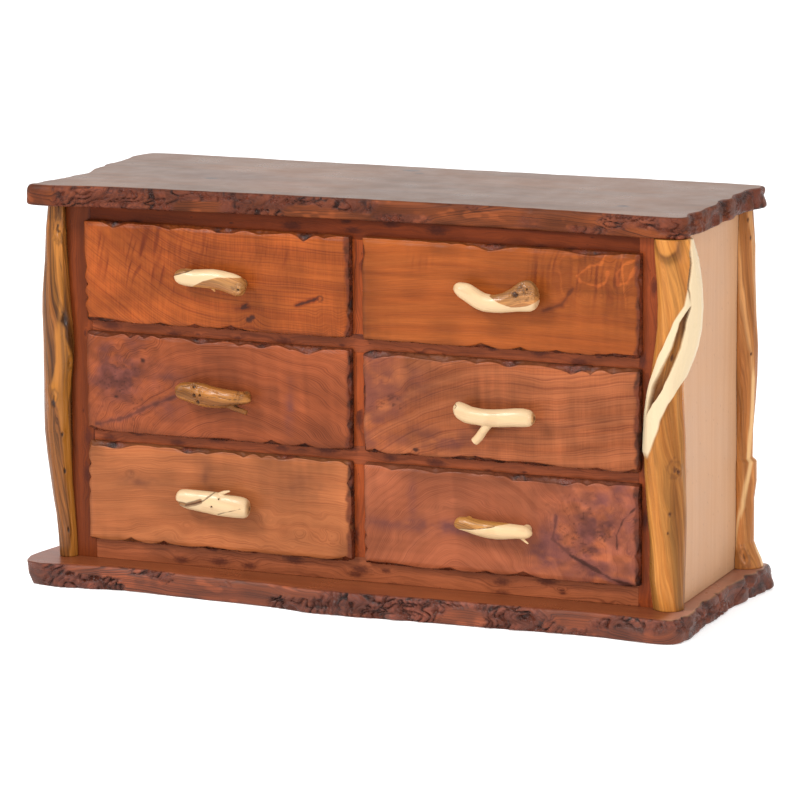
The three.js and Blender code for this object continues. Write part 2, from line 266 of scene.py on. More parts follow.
def fill_between(front, right, back, left):
    """A grid of points between four border curves.

    The front and back curves run from left to right, and the other two from front to back.
    """
    s = np.linspace(0, 1, len(front))[None, :, None]
    t = np.linspace(0, 1, len(left))[:, None, None]
    across = (1 - t) * front[None] + t * back[None]
    along = (1 - s) * left[:, None] + s * right[:, None]
    corners = (1 - t) * ((1 - s) * front[0] + s * front[-1]) + t * ((1 - s) * back[0] + s * back[-1])
    return across + along - corners


def border_loop(rows, columns):
    """Indices of a grid's border points, counter-clockwise from its first corner."""
    index = np.arange(rows * columns).reshape(rows, columns)
    return np.concatenate([index[0, :-1], index[:-1, -1], index[-1, :0:-1], index[:0:-1, 0]])


def outward_normals(loop):
    """Unit normals of a closed counter-clockwise plan curve, pointing out, smoothed a little at corners."""
    along = np.roll(loop, -2, axis=0) - np.roll(loop, 2, axis=0)
    normal = smoothed(np.stack([along[:, 1], -along[:, 0]], axis=1), passes=6)
    return normal / np.linalg.norm(normal, axis=1)[:, None]


def slab_mesh(borders, thickness, edge_rows, edge_shape, face_relief):
    """A slab in its own axes: across, up its face, and out of its face.

    edge_shape gives, for distance round the border and depth below the face from 0 to 1, how far the
    edge stands out from the border. face_relief lowers the face near its border. Gives the points, the
    faces, how far each point is round and down the edge, and which faces belong to the edge.
    """
    front, right, back, left = borders
    grid = fill_between(front, right, back, left)
    rows, columns = grid.shape[:2]
    face = grid.reshape(-1, 2)
    loop = border_loop(rows, columns)
    rim = face[loop]
    normal = outward_normals(rim)
    reach = arc_lengths(closed(rim))[:-1]

    depth = np.linspace(0, 1, edge_rows + 1)[1:, None]
    out = edge_shape(reach[None, :], depth, rim[None])
    rim_drop = face_relief(rim)
    edge_plan = rim[None] + normal[None] * out[..., None]
    edge_height = -rim_drop[None, :] - depth * (thickness - rim_drop[None, :])
    face_points = np.column_stack([face, -face_relief(face)])
    edge_points = np.concatenate([edge_plan, edge_height[..., None]], axis=2).reshape(-1, 3)
    points = np.vstack([face_points, edge_points])

    faces = grid_faces(rows, columns, joined=False)
    face_count = len(faces)
    ring = np.vstack([loop, len(face) + np.arange(edge_rows * len(loop)).reshape(edge_rows, -1)])
    upper, lower = ring[:-1], ring[1:]
    quads = np.stack([upper, lower, np.roll(lower, -1, axis=1), np.roll(upper, -1, axis=1)], axis=-1)
    faces += quads.reshape(-1, 4).tolist()
    faces.append(ring[-1][::-1].tolist())
    on_edge = np.arange(len(faces)) >= face_count
    below = np.concatenate([np.zeros(len(face)), np.repeat(depth[:, 0], len(loop))])
    around = np.concatenate([np.zeros(len(face)), np.tile(reach, edge_rows)])
    return points, faces, around, below, on_edge


# ---------------------------------------------------------------- wood figure
FAN_BLEND = 0.04


def bend_at_knots(a, b, ring, figure):
    """Bends a board's rings round its knots and eyes, and masks the knots."""
    seed = figure["seed"]
    knot = np.zeros(np.shape(ring))
    for knot_a, knot_b, size in figure.get("knots", ()):
        far = np.hypot((a - knot_a) / 1.5, b - knot_b) / size
        ring = ring + size * (1.1 * bump(far, 0, 2.2) + 0.5 * np.exp(-far))
        knot = np.maximum(knot, fade(0.4, 1.0, far + 0.2 * noise(a * 200, b * 200, 0, seed)))
    for eye_a, eye_b, size, strength in figure.get("eyes", ()):
        far = np.hypot((a - eye_a) / 1.2, b - eye_b) / size + 0.15 * noise(a * 150, b * 150, 0, seed)
        ring = ring + size * 1.5 * np.exp(-far / 1.4)
        knot = np.maximum(knot, strength * bump(far, 0.85, 0.3))
    return ring, knot


def growth(a, b, c, figure):
    """How far points are from a board's pith, and where its knots are.

    a, b and c are distances along, across and out of the board. A fan leans the rings on one side of its
    start, and a heart closes them to ovals round a middle.
    """
    seed = figure["seed"]
    wavy = figure.get("wavy", 1)
    pith_c = figure["pith_c"] + figure.get("slope_c", 0) * a
    sway = figure["sway"] * noise(a * 2.1, b * 1.3, 0, seed)
    if "fan" in figure:
        start, slope = figure["fan"]
        sway = sway - slope * FAN_BLEND * np.logaddexp(0, (start - a) / FAN_BLEND)
    ring = np.hypot(b - figure["pith_b"] + sway, c - pith_c)
    if "heart" in figure:
        centre, stretch = figure["heart"]
        ring = np.hypot(ring, (a - centre) / stretch)
    for *place, size in figure.get("burls", ()):
        ring = ring + size * spot(a, b, *place) * fractal(a * 26, b * 26, 0, 2, seed + 30)
    ring = ring + 0.004 * wavy * noise(a * 7, b * 14, c * 14, seed + 1)
    ring = ring + 0.0012 * wavy * noise(a * 30, b * 55, c * 55, seed + 2)
    return bend_at_knots(a, b, ring, figure)


# ---------------------------------------------------------------- shaders
class Shader:
    """Builds one material's nodes. Each call adds a node and gives back its output."""

    def __init__(self, name):
        self.material = bpy.data.materials.new(name)
        self.material.use_nodes = True
        self.tree = self.material.node_tree
        self.surface = self.tree.nodes["Principled BSDF"]

    def add(self, kind, inputs, output=0, **settings):
        node = self.tree.nodes.new(kind)
        for key, value in settings.items():
            setattr(node, key, value)
        for socket, value in inputs.items():
            self.set(node.inputs[socket], value)
        return node.outputs[output]

    def set(self, socket, value):
        if isinstance(value, bpy.types.NodeSocket):
            self.tree.links.new(value, socket)
        elif isinstance(value, tuple) and len(value) == 3 and socket.type == "RGBA":
            socket.default_value = (*value, 1)
        else:
            socket.default_value = value

    def field(self, name):
        return self.add("ShaderNodeAttribute", {}, output="Fac", attribute_name=name)

    def math(self, operation, a, b=0.0):
        return self.add("ShaderNodeMath", {0: a, 1: b}, operation=operation)

    def times(self, a, b):
        return self.math("MULTIPLY", a, b)

    def plus(self, a, b):
        return self.math("ADD", a, b)

    def minus(self, a, b):
        return self.math("SUBTRACT", a, b)

    def vector(self, x=0.0, y=0.0, z=0.0):
        return self.add("ShaderNodeCombineXYZ", {0: x, 1: y, 2: z})

    def noise(self, vector, scale, detail, roughness):
        inputs = {"Vector": vector, "Scale": scale, "Detail": detail, "Roughness": roughness}
        return self.add("ShaderNodeTexNoise", inputs)

    def grain_noise(self, along, across, rate_along, rate_across, seed, detail=1, roughness=0.5):
        """Noise with its own number of bumps to the metre along and across the grain."""
        place = self.vector(self.times(along, rate_along), self.times(across, rate_across), seed)
        return self.noise(place, 1, detail, roughness)

    def ramp(self, value, low, high, to_low=0.0, to_high=1.0):
        inputs = {"Value": value, "From Min": low, "From Max": high, "To Min": to_low, "To Max": to_high}
        return self.add("ShaderNodeMapRange", inputs, interpolation_type="SMOOTHSTEP")

    def mix(self, factor, a, b, blend="MIX"):
        node = self.tree.nodes.new("ShaderNodeMix")
        node.data_type = "RGBA"
        node.blend_type = blend
        self.set(node.inputs["Factor"], factor)
        self.set(node.inputs[6], a)
        self.set(node.inputs[7], b)
        return node.outputs[2]

    def shaded(self, colour, brightness):
        return self.mix(1.0, colour, self.vector(brightness, brightness, brightness), "MULTIPLY")

    def varnished(self, look, colour, roughness, height, relief, coat_roughness):
        """Links a colour, a roughness and a surface height of the wood, and sets the varnish of its look."""
        values = {
            "Base Color": colour,
            "Roughness": roughness,
            "Normal": self.add("ShaderNodeBump", {"Height": height, "Distance": relief}),
            "Coat Weight": look["coat"],
            "Coat Roughness": coat_roughness,
            "Specular IOR Level": look["specular"],
        }
        for socket, value in values.items():
            self.set(self.surface.inputs[socket], value)
        return self.material


CREAM = (0.60, 0.40, 0.215)
BARK_DARK = (0.020, 0.007, 0.005)
BARK_RED = (0.105, 0.023, 0.010)
BARK_GREY = (0.130, 0.068, 0.058)
KNOT_DARK = (0.030, 0.009, 0.006)
PURPLE = (0.100, 0.032, 0.030)
WOOD_RELIEF = 0.00025
COAT_ROUGHNESS = 0.1


# In a look, pale and deep are the wood's two colours and line is that of its ring lines, in linear RGB.
# fibre, the fleck lines and ring_strength say how strongly those show, and ring_gap is in metres. The fleck
# lines are partly the wood's fleck and partly painted sheen.
def ring_lines(s, ring, along, look):
    """Dark lines where each year's ring ends, coming and going along the grain."""
    seed = look["seed"]
    drift = s.grain_noise(along, ring, 3, 120, seed + 9)
    years = s.plus(s.math("DIVIDE", ring, look["ring_gap"]), s.times(drift, 1.8))
    year = s.math("FRACT", years)
    line = s.times(s.ramp(year, 0.3, 0.9), s.ramp(year, 1.0, 0.94))
    patchy = s.grain_noise(along, ring, 2.5, 100, seed + 13)
    return s.times(line, s.ramp(patchy, 0.35, 0.7, 0.12, 1.0))


def grain_colour(s, ring, along, look):
    """Colour and height of plain wood from its ring distance and its distance along the grain."""
    seed = look["seed"]
    slow = s.grain_noise(along, ring, 1.6, 55, seed, 3, 0.55)
    fibre = s.grain_noise(along, ring, 22, 900, seed + 5, 3, 0.6)
    line = ring_lines(s, ring, along, look)
    colour = s.mix(s.ramp(slow, 0.3, 0.7), look["pale"], look["deep"])
    colour = s.mix(s.times(line, look["ring_strength"]), colour, look["line"])
    colour = s.shaded(colour, s.ramp(fibre, 0.2, 0.8, 1 - look["fibre"], 1 + look["fibre"]))
    # Fine upright lines across the grain: partly the wood's fleck and partly painted sheen.
    if "fleck" in look:
        fleck = s.grain_noise(along, ring, 330, 16, seed + 17, 2)
        fleck = s.times(s.minus(fleck, 0.5), s.ramp(slow, 0.3, 0.6, 0.2, 1.0))
        colour = s.shaded(colour, s.ramp(fleck, -0.2, 0.2, 1 - look["fleck"], 1 + look["fleck"]))
    return colour, s.minus(fibre, s.times(line, 0.6))


def varnish_roughness(s, cloud, look):
    return s.ramp(cloud, 0.2, 0.8, look["rough"] - 0.05, look["rough"] + 0.07)


def bark_colour(s, place):
    """Colour and height of bark."""
    coarse = s.noise(place, 30, 4, 0.6)
    fine = s.noise(place, 150, 4, 0.65)
    colour = s.mix(s.ramp(coarse, 0.36, 0.6), BARK_DARK, BARK_RED)
    return s.mix(s.ramp(fine, 0.55, 0.8, 0.0, 0.5), colour, BARK_GREY), fine


def wood_from_fields(name, look):
    """Varnished wood drawn from the fields on a mesh: ring, along, sap, knot, stain, glow and bark."""
    s = Shader(name)
    place = s.add("ShaderNodeTexCoord", {}, output="Object")
    cloud = s.noise(place, 9, 3, 0.6)
    colour, height = grain_colour(s, s.field("ring"), s.field("along"), look)
    stain = s.times(s.field("stain"), s.ramp(cloud, 0.3, 0.6, 0.5, 1.0))
    colour = s.mix(s.times(stain, 0.85), colour, look.get("stain_colour", PURPLE))
    # On the fronts the glow field also holds painted shade on their edges and painted sheen on their faces,
    # besides the wood's own tone.
    colour = s.shaded(colour, s.ramp(s.field("glow"), -1.5, 1.5, 0.45, 1.55))
    cream = s.mix(look.get("sap_veil", 0.22), look.get("sap", CREAM), colour)
    # On the slabs' faces the sap field is not sapwood but a painted reflection of the backdrop at the base's
    # right end.
    colour = s.mix(s.field("sap"), colour, cream)
    colour = s.mix(s.times(s.field("knot"), 0.92), colour, look.get("knot", KNOT_DARK))
    bark, bark_height = bark_colour(s, place)
    colour = s.mix(s.field("bark"), colour, bark)
    height = s.plus(height, s.times(s.times(bark_height, s.field("bark")), 6))
    roughness = varnish_roughness(s, cloud, look)
    if "bark_rough" in look:
        smoother = s.times(s.field("bark"), look["rough"] - look["bark_rough"])
        roughness = s.minus(roughness, smoother)
    relief = look.get("relief", WOOD_RELIEF)
    return s.varnished(look, colour, roughness, height, relief, COAT_ROUGHNESS)


# ---------------------------------------------------------------- live-edge slabs
def plan_outline(node):
    """The widest plan outline of a slab's CAD solid, counter-clockwise from its front left corner."""
    low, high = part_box(node)
    points = np.array([v.co for v in nodes[node].data.vertices])
    middle = points[np.abs(points[:, 2] - (low.z + high.z) / 2) < (high.z - low.z) * 0.35][:, :2]
    middle = np.unique(middle.round(5), axis=0)
    centre = np.array([(low.x + high.x) / 2, (low.y + high.y) / 2])
    size = np.array([high.x - low.x, high.y - low.y])
    from_centre = (middle - centre) / size
    angle = np.arctan2(from_centre[:, 1], from_centre[:, 0])
    outline = middle[np.argsort(angle)]
    corner = np.argmin(outline[:, 0] + outline[:, 1])
    return np.roll(outline, -corner, axis=0)


def four_borders(outline, slab, inset):
    """The front, right, back and left of a plan outline, moved in by an inset."""
    dense = smoothed(resample(closed(outline), OUTLINE_POINTS)[:-1], passes=8)
    for x, y, move_x, move_y, spread in slab["drawn_out"]:
        near = spot(dense[:, 0], dense[:, 1], x, y, spread, spread)
        dense = dense + near[:, None] * np.array([[move_x, move_y]])
    dense = dense - outward_normals(dense) * inset(dense)[:, None]
    low, high = dense.min(axis=0), dense.max(axis=0)
    targets = [low, (high[0], low[1]), high, (low[0], high[1])]
    corners = [int(np.argmin(np.linalg.norm(dense - np.array(t), axis=1))) for t in targets]
    dense = np.roll(dense, -corners[0], axis=0)
    cuts = [(c - corners[0]) % len(dense) for c in corners] + [len(dense)]
    ring = closed(dense)
    front, right, back, left = [ring[start:end + 1] for start, end in zip(cuts[:-1], cuts[1:])]
    counts = [SLAB_ACROSS, slab["deep"]] * 2
    return [resample(side, count) for side, count in zip([front, right, back[::-1], left[::-1]], counts)]


SLAB_LOOK = {
    "seed": 3.0, "pale": (0.160, 0.062, 0.020), "deep": (0.115, 0.044, 0.014), "line": (0.070, 0.024, 0.009),
    "ring_gap": 0.0055, "ring_strength": 0.4, "fibre": 0.10, "rough": 0.30, "coat": 0.04, "specular": 0.26,
    "relief": 0.0001,
}
EDGE_LOOK = dict(SLAB_LOOK, pale=(0.150, 0.036, 0.009), deep=(0.100, 0.023, 0.006),
                 line=(0.030, 0.007, 0.003), ring_gap=0.0048, ring_strength=0.85, specular=0.12, coat=0.0,
                 rough=0.50, bark_rough=0.18, relief=0.0006)
# deep is the number of points from front to back. knobs and chisel are the depths of the gnarls and of the
# tool marks. drawn_out gives places where the outline is moved: x, y, move in x, move in y, spread.
SLABS = {
    "base_slab": {
        "deep": 120, "seed": 11,
        # The base's face is painted paler at its right end, past the case, as a painted reflection of the
        # white backdrop, in its look's sap colour.
        "look": {"pale": (0.240, 0.066, 0.023), "deep": (0.180, 0.046, 0.015), "line": (0.100, 0.022, 0.008),
                 "sap": (0.62, 0.33, 0.24)},
        "edge_look": {"pale": (0.175, 0.040, 0.012), "deep": (0.110, 0.024, 0.008), "specular": 0.28,
                      "coat": 0.0, "bark_rough": 0.12, "rough": 0.50, "relief": 0.0007},
        "figure": {"seed": 21, "pith_b": 0.05, "pith_c": -0.11, "slope_c": 0.02, "sway": 0.03},
        "knobs": 0.0165, "chisel": 0.010, "reflection_end": 0.4, "left_overhang": 0.9,
        "drawn_out": [(0.745, 0.10, -0.006, 0.0, 0.20), (-0.77, -0.20, -0.017, 0.0, 0.16)],
    },
    "top_slab": {
        "deep": 115, "seed": 31,
        "figure": {
            "seed": 41, "pith_b": -0.02, "pith_c": -0.09, "slope_c": -0.03, "sway": 0.04,
            "knots": [(-0.05, 0.20, 0.018), (-0.02, 0.17, 0.010), (-0.42, -0.05, 0.014),
                      (0.55, -0.10, 0.012)],
        },
        "knobs": 0.0090, "chisel": 0.009, "reflection_end": 0.0, "left_overhang": 0.0,
        "drawn_out": [(-0.735, -0.250, -0.030, -0.004, 0.055)],
    },
}
OUTLINE_POINTS = 1200
SLAB_ACROSS = 520
SLAB_EDGE_ROWS = 24
SLAB_RIM = 0.008
SLAB_UNDERCUT = 0.015
GNARLED_FROM = -0.25
GNARLED_OVER = 0.3
# Where the painted reflection on the base's right end starts and where it is full, in X.
REFLECTION_END_FROM = 0.69
REFLECTION_END_TO = 0.72


def slab_carving(reach, below, x, y, slab, low, high):
    """Where a slab's edge is gnarled or chiselled, and how deep the marks are there, all from 0 to 1.

    reach is the distance round the edge, and below is the depth under the face from 0 to 1.
    """
    seed = slab["seed"]
    to_end = np.minimum(x - low.x, high.x - x)
    chiselled = fade(0.022, 0.05, to_end + 0.008 * noise(y * 20, below * 2, 0, seed + 5))
    facet = y * 31 + 0.45 * below + 0.7 * noise(y * 8, below, 0, seed + 6)
    cut = 1 - billow(facet, 0.37 + 0.5 * below, 0, seed + 7)
    patches = fractal(x * 8, y * 8, below * 1.2, 2, seed)
    gnarled = smoothstep(GNARLED_FROM, GNARLED_FROM + GNARLED_OVER, patches) * (1 - chiselled)
    wander = noise(reach * 13, below * 2.5, 0, seed + 1)
    knobs = 1 - billow(reach * 62 + 1.9 * below + 1.6 * wander, below * 3.4 + 1.5 * wander, 0, seed + 3)
    ribs = 0.5 + 0.5 * np.sin(2 * np.pi * (reach * 78 + 2.4 * below + 2.6 * wander))
    return gnarled, 0.7 * knobs + 0.3 * ribs, chiselled, cut


def slab_edge(slab, low, high):
    """Two functions: how far in a slab's face ends, and how far its edge bulges out from there."""
    def inset(plan):
        """How far the face's border is in from the outline."""
        x, y = plan.T
        chiselled, cut = slab_carving(0 * x, 0 * x, x, y, slab, low, high)[2:]
        by_left = fade(low.x + 0.05, low.x + 0.12, x)
        ragged = 0.0028 * noise(x * 26, y * 26, 0, slab["seed"] + 8)
        return (SLAB_RIM + ragged + slab["chisel"] * chiselled * cut) * (1 - slab["left_overhang"] * by_left)

    def shape(reach, below, rim):
        """How far the edge stands out from the face's border."""
        reach, below = np.broadcast_arrays(reach, below)
        x, y = np.broadcast_to(rim[..., 0], below.shape), np.broadcast_to(rim[..., 1], below.shape)
        gnarled, marks, chiselled, cut = slab_carving(reach, below, x, y, slab, low, high)
        power = np.where(below < 0.5, 3.2, 9)
        rounding = np.sqrt(np.clip(1 - np.abs(2 * below - 1) ** power, 0, 1))
        wavy = 0.0012 * noise(reach * 22, below * 2, 0, slab["seed"] + 4)
        carved = gnarled * slab["knobs"] * (marks - 0.3) + chiselled * slab["chisel"] * cut
        by_left = slab["left_overhang"] * fade(low.x + 0.03, low.x + 0.10, x)
        bulge = inset(rim.reshape(-1, 2)).reshape(1, -1) + wavy - carved * (1 - 0.6 * by_left)
        return rounding * bulge - SLAB_UNDERCUT * by_left * below ** 1.5

    return inset, shape


def flat_face(plan):
    return np.zeros(len(plan))


def slab_fields(points, reach, below, slab, low, high):
    """The wood's fields over a slab's face and its edge."""
    x, y, z = points.T
    seed = slab["seed"]
    edge = below > 0
    gnarled, marks, chiselled, cut = slab_carving(reach, below, x, y, slab, low, high)
    ring, knot = growth(x, y, z, slab["figure"])
    edge_rings = 0.7 * z + 0.015 * gnarled * fractal(reach * 38, below * 2.8, 0, 2, seed + 14)
    patch = fractal(x * 30, y * 30, z * 60, 3, seed)
    creases = gnarled * smoothstep(0.25, 0.70, marks + 0.35 * patch)
    ends = chiselled * (0.3 + 0.6 * smoothstep(0.2, 0.8, cut + 0.3 * patch))
    blotch = smoothstep(0.1, 0.6, fractal(x * 2.5, y * 5, 0, 3, seed + 9))
    tan = 0.6 * noise(reach * 20, below * 2, 0, seed + 13)
    tan = tan + 1.2 * smoothstep(0.35, 0.7, fractal(reach * 26, below * 2.2, 0, 2, seed + 16))
    return {
        "ring": ring + np.where(edge, edge_rings, 0),
        "along": x,
        # On a slab's face, sap is a painted reflection at the right end, not sapwood.
        "sap": np.where(edge, 0, slab["reflection_end"] * smoothstep(REFLECTION_END_FROM, REFLECTION_END_TO, x)),
        "knot": np.maximum(knot, 0.7 * edge * chiselled * smoothstep(0.72, 0.98, cut)),
        "stain": np.where(edge, 0.35 * gnarled, 0.2 * blotch),
        "bark": np.where(edge, np.maximum(creases, ends), 0),
        "glow": 0.4 * noise(x * 5, y * 9, 0, seed + 12) + np.where(edge, tan - 0.3 * chiselled, 0),
    }


def add_slab(node, slab):
    low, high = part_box(node)
    inset, shape = slab_edge(slab, low, high)
    borders = four_borders(plan_outline(node), slab, inset)
    thickness = high.z - low.z
    points, faces, reach, below, on_edge = slab_mesh(borders, thickness, SLAB_EDGE_ROWS, shape, flat_face)
    fields = slab_fields(points, reach, below, slab, low, high)
    points[:, 2] += high.z
    woods = [
        wood_from_fields(node + "_face", dict(SLAB_LOOK, **slab.get("look", {}))),
        wood_from_fields(node + "_edge", dict(EDGE_LOOK, **slab.get("edge_look", {}))),
    ]
    make_piece(node + "_wood", points, faces, fields, "case", [node], woods, on_edge)


for slab_node, slab_spec in SLABS.items():
    add_slab(slab_node, slab_spec)


# ---------------------------------------------------------------- drawer fronts
# Places on a front are in metres from its middle: along its width, then up its face. Stains, burls, specks,
# mottles and veins are soft ovals: a place, then how far they reach both ways, then a strength where there is
# one. Knots and eyes are a place and a radius, and eyes have a strength too. Chips are places along the top
# edge, then their depth and width. Cracks have a width, then a path.
def front_look(pale, deep, line, **changes):
    """The look of one front: its own colours over what the fronts share."""
    look = {
        "seed": 0.0, "pale": pale, "deep": deep, "line": line, "ring_gap": 0.0062, "ring_strength": 0.6,
        "fibre": 0.12, "rough": 0.34, "coat": 0.02, "specular": 0.10,
    }
    look.update(changes)
    return look


FRONTS = {
    "left_top": {
        "look": front_look((0.278, 0.063, 0.011), (0.225, 0.046, 0.008), (0.110, 0.016, 0.004), seed=1.0,
                           fleck=0.11),
        "figure": {
            "seed": 51, "pith_b": 0.35, "pith_c": -0.05, "sway": 0.012, "fan": (-0.07, 0.75),
            "knots": [(0.079, -0.083, 0.008), (0.086, -0.077, 0.007)], "eyes": [(0.245, -0.027, 0.006, 0.65)],
            "burls": [(0.27, -0.08, 0.05, 0.04, 0.02)],
        },
        "stains": [(-0.18, 0.050, 0.11, 0.08, 1.0), (-0.05, 0.06, 0.06, 0.05, 0.9),
                   (0.13, 0.055, 0.07, 0.03, 0.5)],
        "stain_lean": 0.24, "stain_colour": (0.110, 0.016, 0.004),
        "cracks": [(0.0024, ((0.050, -0.062), (0.078, -0.056))),
                   (0.0024, ((0.060, -0.060), (0.074, -0.050))),
                   (0.0018, ((0.19, -0.045), (0.24, -0.027)))],
        "painted_sheen": 0.35, "chips": [(-0.24, 0.006, 0.020), (0.21, 0.007, 0.020), (0.02, 0.008, 0.03)],
    },
    "left_middle": {
        "look": front_look((0.228, 0.055, 0.018), (0.188, 0.043, 0.013), (0.120, 0.026, 0.009), seed=2.0,
                           ring_gap=0.0034, ring_strength=0.95),
        "figure": {
            "seed": 61, "pith_b": -0.17, "pith_c": -0.02, "sway": 0.03, "heart": (0.06, 1.4), "wavy": 3.0,
            "knots": [(-0.175, 0.055, 0.006), (-0.24, -0.03, 0.005)],
            "burls": [(-0.22, 0.03, 0.09, 0.08, 0.03)],
        },
        "stains": [(-0.24, 0.03, 0.07, 0.09, 1.2), (-0.12, -0.01, 0.04, 0.05, 1.1),
                   (0.17, -0.02, 0.012, 0.08, 0.7)],
        "ridges": [((-0.29, -0.095), (-0.22, -0.075), (-0.16, -0.045), (-0.10, -0.02))],
        "specks": [(-0.22, -0.01, 0.10, 0.10)], "mottles": [(-0.22, 0.02, 0.09, 0.09)],
        "stain_colour": (0.100, 0.030, 0.024),
        "painted_sheen": 0.25, "chips": [(-0.043, 0.009, 0.022), (0.105, 0.009, 0.022), (0.215, 0.015, 0.028)],
    },
    "left_bottom": {
        "look": front_look((0.296, 0.094, 0.032), (0.255, 0.076, 0.025), (0.175, 0.046, 0.015), seed=3.0,
                           ring_gap=0.0042, ring_strength=0.65),
        "figure": {
            "seed": 71, "pith_b": 0.16, "pith_c": -0.10, "sway": 0.02, "wavy": 1.5,
            "eyes": [(-0.211, 0.044, 0.009, 0.22), (-0.205, 0.046, 0.004, 0.35)],
            "burls": [(0.20, -0.06, 0.12, 0.05, 0.045), (-0.10, -0.07, 0.10, 0.03, 0.02)],
        },
        "stains": [(-0.211, 0.044, 0.012, 0.010, 0.9), (-0.19, 0.032, 0.06, 0.020, 0.6),
                   (0.21, 0.045, 0.07, 0.025, 0.6), (-0.030, 0.065, 0.014, 0.05, 0.6),
                   (-0.02, 0.03, 0.012, 0.02, 0.4)],
        "stain_colour": (0.120, 0.038, 0.018),
        "painted_sheen": 0.15, "chips": [(-0.073, 0.010, 0.024), (-0.25, 0.008, 0.03), (0.16, 0.005, 0.02)],
    },
    "right_top": {
        "look": front_look((0.230, 0.056, 0.010), (0.192, 0.042, 0.007), (0.120, 0.022, 0.004), seed=4.0,
                           ring_gap=0.0048, ring_strength=0.28, fibre=0.16),
        "figure": {
            "seed": 81, "pith_b": 0.30, "pith_c": -0.06, "sway": 0.02, "wavy": 0.8,
            "burls": [(0.22, 0.05, 0.10, 0.06, 0.03)],
        },
        "stains": [(0.22, 0.06, 0.10, 0.06, 0.7), (0.11, 0.06, 0.05, 0.06, 0.7),
                   (-0.16, 0.07, 0.06, 0.02, 0.3)],
        "stain_lean": 0.10, "stain_colour": (0.100, 0.018, 0.005),
        "ridges": [((0.10, -0.02), (0.14, -0.005), (0.165, 0.03))],
        "veins": [(0.23, 0.06, 0.09, 0.05)],
        "light_lines": [
            ((0.236, 0.106), (0.228, 0.084), (0.204, 0.082), (0.174, 0.058), (0.184, 0.046), (0.220, 0.038),
             (0.238, 0.048), (0.242, 0.070)),
            ((0.305, 0.100), (0.280, 0.090), (0.262, 0.068), (0.265, 0.044), (0.284, 0.050), (0.304, 0.082)),
        ],
        "top_waves": 0.35, "streaks": 0.26,
        "painted_sheen": 0.15, "chips": [(-0.02, 0.009, 0.035), (0.20, 0.008, 0.04)],
    },
    "right_middle": {
        "look": front_look((0.275, 0.081, 0.029), (0.218, 0.057, 0.018), (0.110, 0.022, 0.009), seed=5.0,
                           fleck=0.07),
        "figure": {
            "seed": 91, "pith_b": 0.30, "pith_c": -0.08, "sway": 0.03, "fan": (-0.12, -0.75), "wavy": 1.8,
            "knots": [(-0.19, -0.095, 0.006)], "burls": [(-0.25, 0.05, 0.05, 0.05, 0.02)],
        },
        "stains": [(-0.28, 0.01, 0.06, 0.12, 1.3), (-0.15, -0.075, 0.10, 0.03, 1.1),
                   (-0.20, 0.05, 0.05, 0.05, 0.7)],
        "stain_colour": (0.100, 0.028, 0.020),
        "lower": 0.003, "specks": [(-0.24, 0.0, 0.06, 0.10)], "painted_sheen": 0.28,
        "chips": [(-0.29, 0.010, 0.03), (0.02, 0.008, 0.02), (0.16, 0.008, 0.05)],
    },
    "right_bottom": {
        "look": front_look((0.268, 0.076, 0.032), (0.218, 0.058, 0.023), (0.140, 0.033, 0.014), seed=6.0,
                           ring_gap=0.0034, ring_strength=0.65),
        "figure": {
            "seed": 101, "pith_b": -0.16, "pith_c": -0.03, "sway": 0.03, "heart": (-0.10, 1.0), "wavy": 3.2,
            "burls": [(0.24, 0.01, 0.10, 0.10, 0.05), (0.12, -0.06, 0.06, 0.05, 0.03)],
        },
        "stains": [(0.24, 0.00, 0.09, 0.12, 1.5), (0.29, -0.01, 0.03, 0.05, 1.8),
                   (0.13, -0.05, 0.07, 0.06, 1.2), (-0.15, -0.015, 0.18, 0.016, 0.9),
                   (-0.20, 0.02, 0.012, 0.06, 0.5)],
        "cracks": [(0.0036, ((0.159, -0.052), (0.20, -0.07), (0.25, -0.095), (0.298, -0.108))),
                   (0.0040, ((0.304, 0.060), (0.278, 0.034), (0.264, 0.000), (0.264, -0.030)))],
        "ridges": [((0.13, 0.03), (0.12, -0.02), (0.16, -0.05))],
        "mottles": [(0.22, 0.0, 0.10, 0.12)],
        "lower": 0.002, "specks": [(0.20, 0.0, 0.10, 0.10)], "painted_sheen": 0.25,
        "chips": [(0.05, 0.008, 0.03), (0.15, 0.008, 0.02)],
    },
}
FRONT_CELL = 0.0024
FRONT_EDGE_ROWS = 12
SCALLOP_LEAST = 0.0012
SCALLOP_MOST = 0.0105
LOW_SCALLOP = 0.0115
RAGGED = 0.0035


def scallop_inset(reach, perimeter, seed):
    """How far the face stops short of the outline: scoops of uneven width that meet in cusps."""
    turns = reach / perimeter
    uneven = 0.9 * np.sin(2 * np.pi * turns * 3 + seed) + 0.5 * np.sin(2 * np.pi * turns * 7 + 2 * seed)
    place = turns * 15 + uneven
    scoop = np.abs(np.sin(np.pi * place))
    size = 0.5 + 0.5 * np.sin(2 * np.pi * turns * 5 + 3 * seed)
    return SCALLOP_LEAST + (SCALLOP_MOST - SCALLOP_LEAST) * (1 - scoop) * (0.2 + 0.8 * size)


